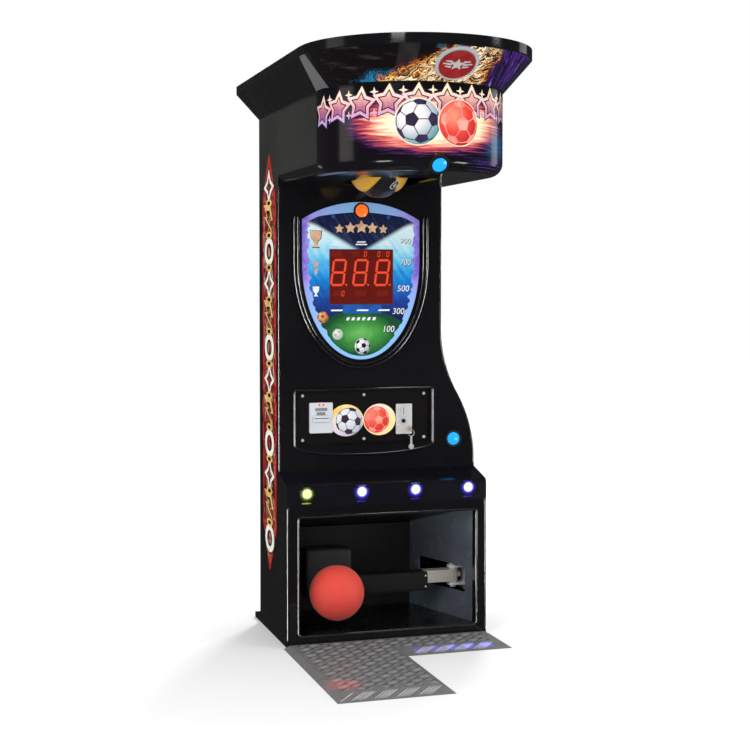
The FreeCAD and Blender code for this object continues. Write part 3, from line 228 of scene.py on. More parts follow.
def toned(tone, share, plus=0.0):
    """The colour made darker or paler."""
    return tuple(min(1.0, share * part + plus) for part in tone)


def smudged(recipe, where, rough, spread):
    """Roughness with broad wipe marks and small dull spots, as hands and cloths leave it."""
    wiped = recipe.noise(where, 3.5, 4.0, 0.6, 1.2)
    spots = recipe.noise(where, 42.0, 5.0, 0.7)
    return wiped.rise(0.42, 0.72) * spread + spots.rise(0.5, 0.8) * (spread * 0.5) + rough


@once
def gloss_black(name, tone=(0.0045, 0.0045, 0.0055), rough=0.1, spread=0.1, peel=0.00006, shine=0.45, hard=1.5):
    """Sprayed or moulded high-gloss black with orange peel, fine dust and wipe marks."""
    recipe = Recipe(name)
    where = recipe.where()
    dust = recipe.noise(where, 130.0, 8.0, 0.75).rise(0.68, 0.8)
    haze = recipe.noise(where, 2.2, 3.0, 0.55)
    lifted = toned(tone, 2.0, 0.003)
    colour = recipe.over(haze.rise(0.35, 0.8) * 0.35 + dust * 0.07, tone, lifted)
    skin = recipe.noise(where, 190.0, 2.0, 0.5) * 0.4 + recipe.noise(where, 5.0, 2.0, 0.5) * 16.0
    return recipe.finish(
        colour, smudged(recipe, where, rough, spread), skin, peel, coat=0.3, coat_rough=0.05, specular=shine, ior=hard)


@once
def flat_paint(name, tone, rough=0.45, grain=0.00008):
    """Rolled or powder paint with a fine grain, scuffs and slightly uneven cover."""
    recipe = Recipe(name)
    where = recipe.where()
    cover = recipe.noise(where, 6.0, 5.0, 0.6)
    scuffs = recipe.noise(where, 70.0, 6.0, 0.75, 2.0).rise(0.62, 0.74)
    lighter = toned(tone, 1.6, 0.01)
    colour = recipe.over(cover.rise(0.3, 0.8) * 0.4 + scuffs * 0.1, tone, lighter)
    skin = recipe.noise(where, 1100.0, 2.0, 0.6) + recipe.noise(where, 160.0, 3.0, 0.5)
    return recipe.finish(colour, cover * 0.14 + (rough - 0.05) - scuffs * 0.03, skin, grain, specular=0.45)


@once
def brushed_metal(name, tone, rough=0.28, along=(1.0, 60.0, 60.0), wear=0.25, metal=0.35):
    """Drawn or brushed metal: fine lines along it, dull marks, small stains."""
    recipe = Recipe(name)
    x, y, z = recipe.place()
    lines = recipe.noise(recipe.vector(x * along[0], y * along[1], z * along[2]), 14.0, 4.0, 0.65)
    stains = recipe.noise(recipe.vector(x, y, z), 26.0, 5.0, 0.65)
    darker = toned(tone, 0.55)
    colour = recipe.over(lines.rise(0.3, 0.75) * 0.35 + stains.rise(0.5, 0.85) * wear, tone, darker)
    return recipe.finish(
        colour, lines * 0.16 + stains * 0.12 + (rough - 0.1), lines, 0.00004, metal=metal, brushed=0.35)


@once
def tread_metal(name, tone, rough, metal=0.2):
    """Mill-finish aluminium, walked on: dull all over, grimy in the hollows, criss-cross scratches."""
    recipe = Recipe(name)
    x, y, z = recipe.place()
    dirt = recipe.noise(recipe.vector(x, y, z), 34.0, 6.0, 0.7)
    one = recipe.noise(recipe.vector(x * 3.0 + y * 40.0, y - x * 30.0, z), 4.0, 4.0, 0.7)
    two = recipe.noise(recipe.vector(x * 40.0 - y * 6.0, y * 9.0, z), 5.0, 4.0, 0.7)
    colour = recipe.over(dirt.rise(0.4, 0.75) * 0.45 + one * 0.12, tone, toned(tone, 0.45))
    return recipe.finish(colour, dirt * 0.14 + (rough - 0.07), one + two, 0.00012, metal=metal)


@once
def bright_metal(name, tone, rough=0.12):
    """Plated or polished metal with wipe marks and faint pits."""
    recipe = Recipe(name)
    where = recipe.where()
    pits = recipe.noise(where, 480.0, 3.0, 0.6)
    colour = recipe.over(pits.rise(0.55, 0.8) * 0.4, tone, toned(tone, 0.6))
    return recipe.finish(colour, smudged(recipe, where, rough, 0.12), pits, 0.00003, metal=0.5)


@once
def moulded_plastic(name, tone, rough=0.35, grain=0.00005):
    """Injection-moulded plastic with a spark-eroded grain and handling marks."""
    recipe = Recipe(name)
    where = recipe.where()
    grit = recipe.cells(where, 900.0)
    marks = recipe.noise(where, 34.0, 5.0, 0.7)
    colour = recipe.over(marks.rise(0.45, 0.8) * 0.3, tone, toned(tone, 0.7, 0.01))
    return recipe.finish(colour, marks * 0.2 + (rough - 0.08), grit, grain, specular=0.5)


@once
def rubber(name, tone, rough=0.62, grain=0.00012):
    """Rubber or leathercloth: pebbled, with pale scuffs on what stands proud."""
    recipe = Recipe(name)
    where = recipe.where()
    pebbles = recipe.cells(where, 420.0)
    folds = recipe.noise(where, 30.0, 4.0, 0.6)
    scuffs = recipe.noise(where, 85.0, 6.0, 0.8, 1.5).rise(0.6, 0.75)
    colour = recipe.over(scuffs * 0.35, tone, toned(tone, 2.0, 0.02))
    return recipe.finish(
        colour, folds * 0.18 + (rough - 0.1), pebbles, grain, recipe.bump(folds, 0.0006), specular=0.4)


@once
def ball_rubber(name, tone):
    """Soft foam rubber of the kick ball, finely pitted, scuffed where shoes meet it."""
    recipe = Recipe(name)
    where = recipe.where()
    pits = recipe.cells(where, 520.0)
    bloom = recipe.noise(where, 7.0, 4.0, 0.6)
    scuffs = recipe.noise(where, 55.0, 7.0, 0.8, 2.5).rise(0.6, 0.72)
    darker = toned(tone, 0.72)
    colour = recipe.over(bloom.rise(0.35, 0.75) * 0.3, tone, darker)
    colour = recipe.over(scuffs * 0.16, colour, (0.45, 0.12, 0.1))
    return recipe.finish(colour, bloom * 0.12 + 0.4 + scuffs * 0.1, pits, 0.0001, soft=0.12, soft_scale=0.01,
        sheen=0.15, sheen_rough=0.4, specular=0.22)


@once
def leather(name, tone, rough=0.34):
    """Tanned leather: irregular pebble, creases, gloss where rubbing has polished it."""
    recipe = Recipe(name)
    where = recipe.where()
    pebble = recipe.cells(where, 330.0, "SMOOTH_F1")
    crease = recipe.noise(where, 24.0, 6.0, 0.7, 1.5)
    rub = recipe.noise(where, 11.0, 3.0, 0.5)
    colour = recipe.over(crease.rise(0.4, 0.8) * 0.35, tone, toned(tone, 0.55))
    return recipe.finish(
        colour, rub * 0.22 + (rough - 0.1), pebble, 0.00025, recipe.bump(crease, 0.0008), coat=0.15, coat_rough=0.25)


@once
def lit_plastic(name, tone, glow, power):
    """Clear coloured plastic with a lamp behind: brighter in the middle of each grain of the diffuser."""
    recipe = Recipe(name)
    where = recipe.where()
    grain = recipe.cells(where, 600.0)
    cloud = recipe.noise(where, 60.0, 3.0, 0.5)
    colour = recipe.over(cloud.rise(0.3, 0.8) * 0.4, tone, toned(tone, 0.7))
    light = recipe.over(grain.rise(0.2, 0.9) * 0.25, glow, toned(glow, 0.7))
    return recipe.finish(
        colour, cloud * 0.1 + 0.12, grain, 0.00003, coat=0.8, coat_rough=0.05, glow=light, glow_power=power)


@once
def ink(name, tone, second=None, rough=0.2, coat=0.7, shine=0.5):
    """One printed colour under clear film, with a little screen grain and wear."""
    recipe = Recipe(name)
    where = recipe.where()
    grain = recipe.noise(where, 240.0, 4.0, 0.7)
    broad = recipe.noise(where, 18.0, 4.0, 0.6, 1.0)
    other = second or toned(tone, 0.72)
    colour = recipe.over(broad.rise(0.38, 0.66) * 0.7 + grain * 0.15, tone, other)
    return recipe.finish(
        colour, broad * 0.12 + (rough - 0.04), grain, 0.00003, coat=coat, coat_rough=0.06, specular=shine)


@once
def shaded_ink(name, low, high, *stops):
    """Printed colour that changes with height from low to high through the stops."""
    recipe = Recipe(name)
    along, height, _ = recipe.print_place()
    grain = recipe.noise(recipe.vector(along, height), 210.0, 4.0, 0.7)
    ripple = recipe.noise(recipe.vector(along * 3.0, height), 16.0, 3.0, 0.6, 1.5)
    level = ((height - low) / (high - low) + (ripple - 0.5) * 0.35).clamped()
    colour = recipe.tones(level, *stops)
    colour = recipe.over(grain.rise(0.5, 0.8) * 0.18, colour, (0.35, 0.25, 0.3))
    return recipe.finish(colour, ripple * 0.1 + 0.12, grain, 0.00003, coat=0.7, coat_rough=0.06)


@once
def ball_ink(name, ball, *stops):
    """Printed ball (place and radius), shaded from its lit side at the upper left to its far rim."""
    recipe = Recipe(name)
    along, height, _ = recipe.print_place()
    middle, centre_z, radius = ball
    x, z = (along - middle) / radius, (height - centre_z) / radius
    grain = recipe.noise(recipe.vector(along, height), 260.0, 4.0, 0.7)
    far = ((x + 0.3) * (x + 0.3) + (z - 0.32) * (z - 0.32)).to_power(0.5) / 1.45
    colour = recipe.tones((far + (grain - 0.5) * 0.1).clamped(), *stops)
    return recipe.finish(colour, grain * 0.08 + 0.12, grain, 0.00003, coat=0.7, coat_rough=0.06)


# ---- Shapes ----
def placed(name, data):
    """A new object of the scene that shows the data."""
    thing = bpy.data.objects.new(name, data)
    bpy.context.scene.collection.objects.link(thing)
    return thing


def meshed(name, bm, finishes):
    """The bmesh as an object with its finishes."""
    mesh = bpy.data.meshes.new(name)
    bm.to_mesh(mesh)
    bm.free()
    for finish in finishes:
        mesh.materials.append(finish)
    return placed(name, mesh)


def made(name, bm, finishes, body, crease=35.0):
    """Turns a bmesh into a smooth piece with its finishes, riding on its body; edges past crease stay sharp."""
    piece = meshed(name, bm, finishes)
    piece.data.shade_smooth()
    piece.data.set_sharp_from_angle(angle=math.radians(crease))
    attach(piece, body)
    return piece


def divided(ring, pitch):
    """The closed outline with no side longer than pitch."""
    out = []
    for (x0, y0), (x1, y1) in zip(ring, ring[1:] + ring[:1]):
        count = max(1, math.ceil(math.hypot(x1 - x0, y1 - y0) / pitch))
        out += [(x0 + (x1 - x0) * i / count, y0 + (y1 - y0) * i / count) for i in range(count)]
    return out


def inside(rings, points):
    """Which points lie inside the outlines; an outline inside another is a hole."""
    x, y = points[:, 0], points[:, 1]
    hit = np.zeros(len(points), bool)
    for ring in rings:
        for (x0, y0), (x1, y1) in zip(ring, ring[1:] + ring[:1]):
            if y0 != y1:
                hit ^= ((y0 > y) != (y1 > y)) & (x < (x1 - x0) * (y - y0) / (y1 - y0) + x0)
    return hit


def lay_film(bm, rings, place, layer, finish, pitch):
    """Lays a thin film, cut to the outlines, on the surface that place describes; a higher layer hides a lower."""
    lift = layer * FILM
    mark = bm.verts.layers.float_vector.get(PRINT) or bm.verts.layers.float_vector.new(PRINT)
    rings = [divided(ring, pitch) for ring in rings]
    points, sides = [], []
    for ring in rings:
        start = len(points)
        points += ring
        sides += [(start + i, start + (i + 1) % len(ring)) for i in range(len(ring))]
    edge = np.array(points)
    low, high = edge.min(0), edge.max(0)
    grid = np.array([(x, y) for x in np.arange(low[0] + pitch / 2, high[0], pitch)
                     for y in np.arange(low[1] + pitch / 2, high[1], pitch)]).reshape(-1, 2)
    if len(grid):
        grid = grid[inside(rings, grid)]
        points += [tuple(p) for p in grid]
    flat, _, faces, *_ = delaunay_2d_cdt([Vector(p) for p in points], sides, [], 0, 1e-7)
    flat = np.array([tuple(p) for p in flat])
    keep = inside(rings, np.array([flat[list(f)].mean(0) for f in faces]))
    verts = {}
    made_faces = []
    for face, wanted in zip(faces, keep):
        if not wanted:
            continue
        for i in face:
            if i not in verts:
                s, z = flat[i]
                verts[i] = bm.verts.new(place(s, z, lift))
                verts[i][mark] = (s, z, lift)
        out = bm.faces.new([verts[i] for i in face])
        s, z = flat[list(face)].mean(0)
        out.normal_update()
        if out.normal.dot(place(s, z, lift + 0.001) - place(s, z, lift)) < 0:
            out.normal_flip()
        out.material_index = finish
        made_faces.append(out)
    feet = {}
    for face in made_faces:
        for loop in list(face.loops):
            if len(loop.edge.link_faces) == 1:
                ends = loop.vert, loop.link_loop_next.vert
                for end in ends:
                    if end not in feet:
                        s, z, _ = end[mark]
                        feet[end] = bm.verts.new(place(s, z, -0.00005))
                        feet[end][mark] = end[mark]
                side = bm.faces.new([ends[1], ends[0], feet[ends[0]], feet[ends[1]]])
                side.material_index = finish


def hood_place(s, z, lift):
    """A point on the hood's side: s runs round it from the middle of its front, in metres of arc."""
    inset = 0.0
    if z < HOOD_LOW_Z + HOOD_ROUNDING:
        drop = min(HOOD_ROUNDING, HOOD_LOW_Z + HOOD_ROUNDING - z)
        inset = HOOD_ROUNDING - math.sqrt(HOOD_ROUNDING ** 2 - drop ** 2)
    reach = HOOD_RADIUS - inset + lift
    quarter = HOOD_RADIUS * math.pi / 2
    if abs(s) <= quarter:
        turn = s / HOOD_RADIUS
        return Vector((TOWER_X + reach * math.sin(turn), HOOD_CENTRE_Y - reach * math.cos(turn), z))
    return Vector((TOWER_X + math.copysign(reach, s), HOOD_CENTRE_Y + abs(s) - quarter, z))


def visor_place(s, z, lift):
    """A point on the visor's flared front: s as on the hood, z its height."""
    turn = s / HOOD_RADIUS
    share = (z - VISOR_LOW_Z) / (VISOR_BREAK_Z - VISOR_LOW_Z)
    reach = HOOD_RADIUS + VISOR_FLARE * share
    centre_y = HOOD_CENTRE_Y - VISOR_REACH * share
    slope = (VISOR_FLARE + VISOR_REACH * math.cos(turn)) / (VISOR_BREAK_Z - VISOR_LOW_Z)
    out = Vector((math.sin(turn), -math.cos(turn), -slope)).normalized()
    return Vector((TOWER_X + reach * math.sin(turn), centre_y - reach * math.cos(turn), z)) + out * lift


def shield_place(x, z, lift):
    return Vector((x, SHIELD_FACE_Y - lift, z))


def coin_place(x, z, lift):
    return Vector((x, COIN_FACE_Y - lift, z))


def side_place(y, z, lift):
    return Vector((SIDE_FACE_X - lift, y, z))


def rectangle(x0, x1, z0, z1):
    return [(x0, z0), (x1, z0), (x1, z1), (x0, z1)]


def oval(x, z, wide, high, count=40):
    return [(x + wide * math.cos(a), z + high * math.sin(a)) for a in (2 * math.pi * i / count for i in range(count))]


def star(x, z, radius, waist=0.5, points=5, turn=0.0, stretch=1.0):
    out = []
    for i in range(2 * points):
        reach = radius * (waist if i % 2 else 1.0)
        a = math.pi * i / points + turn
        out.append((x + reach * math.sin(a), z + stretch * reach * math.cos(a)))
    return out


def bolt(x, z, wide, high, lean=0.0):
    """A zigzag flash."""
    shape = [(-0.15, 0.5), (0.5, 0.5), (0.18, 0.1), (0.46, 0.1), (-0.3, -0.5), (-0.05, -0.05), (-0.4, -0.05)]
    return [(x + wide * u + lean * v * high, z + high * v) for u, v in shape]


def ball_marks(turn):
    """Outlines of a ball's five-sided patches and of its seams, on a disc of radius 1."""
    golden = (1 + math.sqrt(5)) / 2
    tips = [Vector(p).normalized() for a in (-1, 1) for b in (-golden, golden)
            for p in ((0, a, b), (a, b, 0), (b, 0, a))]
    spin = Euler(turn).to_matrix()
    tips = [spin @ tip for tip in tips]

    def seen(point):
        point = point.normalized()
        if point.z < 0:
            rim = math.hypot(point.x, point.y)
            return point.x / rim, point.y / rim
        return point.x, point.y

    patches, seams = [], []
    for i, tip in enumerate(tips):
        side = tip.orthogonal().normalized()
        up = tip.cross(side)
        near = [t for t in tips if 0.3 < t.dot(tip) < 0.9]
        near.sort(key=lambda t: math.atan2(t.dot(up), t.dot(side)))
        corners = [tip.lerp(t, 1 / 3).normalized() for t in near]
        if sum(c.z > 0 for c in corners) >= 2:
            ring = []
            for a, b in zip(corners, corners[1:] + corners[:1]):
                ring += [seen(a.lerp(b, k / 4)) for k in range(4)]
            patches.append([p for k, p in enumerate(ring) if math.dist(p, ring[k - 1]) > 1e-4])
        for t in near:
            a, b = tip.lerp(t, 1 / 3).normalized(), tip.lerp(t, 2 / 3).normalized()
            if tips.index(t) > i and a.z > 0.05 and b.z > 0.05:
                line = [seen(a.lerp(b, k / 4)) for k in range(5)]
                across = Vector((line[4][1] - line[0][1], line[0][0] - line[4][0])).normalized() * 0.02
                seams.append([(p[0] + across.x, p[1] + across.y) for p in line]
                             + [(p[0] - across.x, p[1] - across.y) for p in reversed(line)])
    return patches, seams


def lay_ball(bm, place, x, z, radius, layer, skin, marks, turn, cut=None, rim=None):
    """A printed ball: skin, patches, seams and, if asked for, a rim. cut is the range of x that it is trimmed to."""
    def fitted(ring):
        return [(min(max(x + radius * u, cut[0]), cut[1]) if cut else x + radius * u, z + radius * v)
                for u, v in ring]
    if rim is not None:
        lay_film(bm, [fitted(oval(0, 0, 1.05, 1.05, 56))], place, layer - 0.5, rim, FINE)
    lay_film(bm, [fitted(oval(0, 0, 1, 1, 56))], place, layer, skin, FINE)
    patches, seams = ball_marks(turn)
    for ring in patches + seams:
        lay_film(bm, [fitted([(0.985 * u, 0.985 * v) for u, v in ring])], place, layer + 1, marks, MEDIUM)


def surface_of(node):
    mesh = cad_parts[node].data
    return BVHTree.FromPolygons([v.co for v in mesh.vertices], [list(p.vertices) for p in mesh.polygons])


def front_of(tree, x, z):
    """How far back the first surface lies, seen from the front at x, z."""
    hit = tree.ray_cast(Vector((x, AHEAD_Y, z)), BACKWARD)[0]
    if hit is None:
        raise ValueError(f"nothing to lay a piece on at {x:.3f}, {z:.3f}")
    return hit.y


def lathe(bm, profile, centre, count, finish=0):
    """Revolves (along, radius) pairs about the line that runs straight back through centre."""
    axis, side = BACKWARD, Vector((1, 0, 0))
    up = axis.cross(side)
    rings = []
    for along, radius in profile:
        if radius < 1e-6:
            rings.append([bm.verts.new(Vector(centre) + axis * along)])
            continue
        rings.append([bm.verts.new(Vector(centre) + axis * along
                                   + (side * math.cos(a) + up * math.sin(a)) * radius)
                      for a in (2 * math.pi * i / count for i in range(count))])
    for one, two in zip(rings, rings[1:]):
        for i in range(count):
            j = (i + 1) % count
            corners = [one[i % len(one)], one[j % len(one)], two[j % len(two)], two[i % len(two)]]
            corners = [c for k, c in enumerate(corners) if c not in corners[:k]]
            if len(corners) > 2:
                bm.faces.new(corners).material_index = finish


def sizes(context):
    return context.scene.punch_machine


# ---- What a user may change ----
def colour_choice(name, description, default):
    return bpy.props.FloatVectorProperty(
        name=name, description=description, subtype="COLOR", size=3, min=0.0, max=1.0, default=default)


def length_choice(name, description, low, high, default):
    return bpy.props.FloatProperty(
        name=name, description=description, unit="LENGTH", min=low, max=high, default=default)


class PunchMachineSizes(bpy.types.PropertyGroup):
    """Sizes and colours of the machine's looks."""

    ball_colour: colour_choice("Kick ball", "Colour of the kick ball's foam rubber", (0.74, 0.07, 0.05))
    bag_colour: colour_choice("Bag panel", "Colour of the bag's bright leather panels", (0.72, 0.38, 0.03))
    chamber_colour: colour_choice(
        "Chamber wall", "Paint of the slanted wall in the kick chamber", (0.1, 0.116, 0.13))
    first_lamp: colour_choice("First lamp", "Light of the lamp at the left", (0.72, 1.0, 0.1))
    other_lamps: colour_choice("Other lamps", "Light of the other three lamps", (0.55, 0.62, 1.0))
    digit_colour: colour_choice("Digits", "Light of the score digits", (0.88, 0.07, 0.022))
    star_size: length_choice("Hood star", "Radius of the stars round the hood", 0.02, 0.08, 0.067)
    bar_length: length_choice("Tread bar", "Length of one raised bar of the tread plate", 0.01, 0.05, 0.03)
    bar_height: length_choice("Tread bar height", "How far the bars of the tread plate stand up", 0.0005, 0.003, 0.0016)
    digit_height: length_choice("Digit height", "Height of the large score digits", 0.05, 0.13, 0.1)


# ---- Stage ----
CAMERA_PLACE = (-1.745, -5.734, 1.4166)
CAMERA_TURN = 17.22
CAMERA_DIP = 2.055
CAMERA_LENS = 69.4
CAMERA_SHIFT = -0.05
BACKDROP_LIGHT = 1.0
ROOM_LIGHT = 1.03
MIRRORED_LIGHT = 0.032
WHITE = (1.0, 1.0, 1.0)
WARM = (1.0, 0.9, 0.8)
GREENISH = (0.97, 1.0, 0.88)
RED_POOL = (1.0, 0.04, 0.08)
BLUE_POOL = (0.14, 0.12, 1.0)
LINED = "pieces_lined_by_glints"
# Name, place, aim, width and height, power in watts, tint, and where it shows: "shone" on surfaces only,
# "mirrored" in reflections only, "beads" in reflections on the beads only, "both" on surfaces and in reflections
LIGHTS = (
    ("key_softbox", (-3.0, -3.6, 3.4), (-0.1, -0.5, 1.1), (1.8, 2.4), 60.0, WHITE, "shone"),
    ("fill_softbox", (3.4, -3.4, 2.2), (0.0, -0.4, 1.1), (1.6, 2.2), 30.0, WHITE, "shone"),
    ("top_softbox", (0.2, -1.4, 4.6), (0.0, -0.5, 1.4), (2.6, 1.6), 50.0, WHITE, "both"),
    ("rear_softbox", (1.9, 3.4, 3.6), (0.0, 0.0, 1.0), (1.0, 1.0), 150.0, WHITE, "shone"),
    ("left_sheen", (-4.2, -0.4, 2.0), (0.0, -0.4, 1.6), (1.5, 2.4), 7.0, WARM, "mirrored"),
    ("right_sheen", (3.9, 0.4, 2.0), (0.0, -0.4, 1.6), (1.2, 2.4), 7.0, WHITE, "mirrored"),
    ("left_edge_glint", (-3.76, -1.67, 0.2), (0.0, -0.3, 0.9), (0.9, 3.2), 230.0, WHITE, "beads"),
    ("right_edge_glint", (3.98, 0.05, 0.2), (0.0, -0.3, 0.9), (0.9, 3.2), 260.0, WHITE, "beads"),
    ("left_glint", (-1.96, -2.45, 0.35), (-0.1, -1.0, 1.8), (0.8, 0.45), 7.0, WHITE, "mirrored"),
    ("right_glint", (1.99, -2.41, 0.35), (0.0, -1.0, 1.8), (0.8, 0.45), 7.0, WHITE, "mirrored"),
    ("left_rim_glint", (-1.87, -3.66, 2.8), (-0.26, -1.18, 2.22), (0.7, 0.05), 1.6, WHITE, "mirrored"),
    ("right_rim_glint", (2.81, -2.34, 2.8), (0.09, -1.19, 2.24), (0.5, 0.05), 1.2, WHITE, "mirrored"),
    ("corner_glint", (-1.18, 1.14, 1.42), (-0.45, -0.8, 2.15), (0.24, 0.4), 0.22, WHITE, "mirrored"),
    ("hood_side_sheen", (-1.15, 2.42, 2.21), (-0.415, -0.5, 1.95), (0.6, 0.6), 0.085, GREENISH, "mirrored"),
)


class PUNCHMACHINE_OT_stage(bpy.types.Operator):
    """Lay the pale floor, set soft studio lights and stand the camera in front and to the left"""

    bl_idname = "punch_machine.stage"
    bl_label = "Stage"

    def execute(self, context):
        scene = context.scene
        self.lay_floor()
        self.light_room(scene)
        self.set_lights()
        self.set_pools()
        self.stand_camera(scene)
        return {"FINISHED"}

    @staticmethod
    def lay_floor():
        """A matt floor, pale grey near the machine and white further out."""
        recipe = Recipe("studio_floor")
        x, y, z = recipe.place()
        where = recipe.vector(x, y, z)
        cloud = recipe.noise(where, 1.6, 4.0, 0.6)
        reach = (x * x + y * y).to_power(0.5)
        colour = recipe.over(reach.rise(1.2, 6.0), (0.76, 0.76, 0.76), (0.985, 0.985, 0.985))
        colour = recipe.over(cloud.rise(0.3, 0.8) * 0.02, colour, (0.9, 0.9, 0.905))
        finish = recipe.finish(colour, cloud * 0.15 + 0.7, recipe.noise(where, 300.0), 0.00005, specular=0.0)
        bm = bmesh.new()
        bmesh.ops.create_grid(bm, x_segments=24, y_segments=24, size=20.0)
        floor = meshed("studio_floor", bm, [finish])
        floor.visible_glossy = False

    @staticmethod
    def light_room(scene):
        """A white room: one strength as light, another to the camera, and a faint one in reflections."""
        world = bpy.data.worlds.new("studio")
        scene.world = world
        world.use_nodes = True
        steps = world.node_tree
        backing = steps.nodes["Background"]
        backing.inputs["Color"].default_value = (1.0, 1.0, 1.0, 1.0)
        path = steps.nodes.new("ShaderNodeLightPath")

        def strength_by(kind_of_ray, strength):
            level = steps.nodes.new("ShaderNodeMapRange")
            steps.links.new(path.outputs[kind_of_ray], level.inputs["Value"])
            level.inputs["To Max"].default_value = strength
            return level

        seen = strength_by("Is Camera Ray", BACKDROP_LIGHT)
        seen.inputs["To Min"].default_value = ROOM_LIGHT
        mirrored = strength_by("Is Glossy Ray", MIRRORED_LIGHT)
        steps.links.new(seen.outputs["Result"], mirrored.inputs["To Min"])
        steps.links.new(mirrored.outputs["Result"], backing.inputs["Strength"])
        scene.view_settings.view_transform = "Standard"

    @staticmethod
    def set_lights():
        """The soft boxes, and the lights that only reflections or only the beads show."""
        beads = bpy.data.collections.new(LINED)
        for name, place, aim, size, power, tint, use in LIGHTS:
            lamp = bpy.data.lights.new(name, "AREA")
            lamp.shape, lamp.energy, lamp.color = "RECTANGLE", power, tint
            lamp.size, lamp.size_y = size
            holder = placed(name, lamp)
            holder.location = place
            holder.rotation_euler = (Vector(aim) - Vector(place)).to_track_quat("-Z", "Y").to_euler()
            holder.visible_camera = False
            holder.visible_glossy = use != "shone"
            holder.visible_diffuse = use in ("shone", "both")
            if use == "beads":
                holder.light_linking.receiver_collection = beads

    @staticmethod
    def set_pools():
        """Coloured pools of light on the tread plate, one red and a row of blue."""
        pools = [("red_pool", -0.356, -0.88, 0.4, 26, 9.0, RED_POOL)]
        pools += [(f"blue_pool_{i}", 0.06 + 0.07 * i, -0.478, 0.35, 12, 9.0 + 3.5 * i, BLUE_POOL) for i in range(5)]
        for name, x, y, height, cone, power, tint in pools:
            lamp = bpy.data.lights.new(name, "SPOT")
            lamp.energy, lamp.color, lamp.shadow_soft_size = power, tint, 0.008
            lamp.spot_size, lamp.spot_blend = math.radians(cone), 1.0
            holder = placed(name, lamp)
            holder.location = (x, y, height)
            holder.visible_camera = holder.visible_glossy = False

    @staticmethod
    def stand_camera(scene):
        lens = bpy.data.cameras.new("camera")
        lens.lens, lens.shift_y = CAMERA_LENS, CAMERA_SHIFT
        scene.camera = placed("camera", lens)
        scene.camera.location = CAMERA_PLACE
        scene.camera.rotation_euler = (math.radians(90 - CAMERA_DIP), 0, -math.radians(CAMERA_TURN))


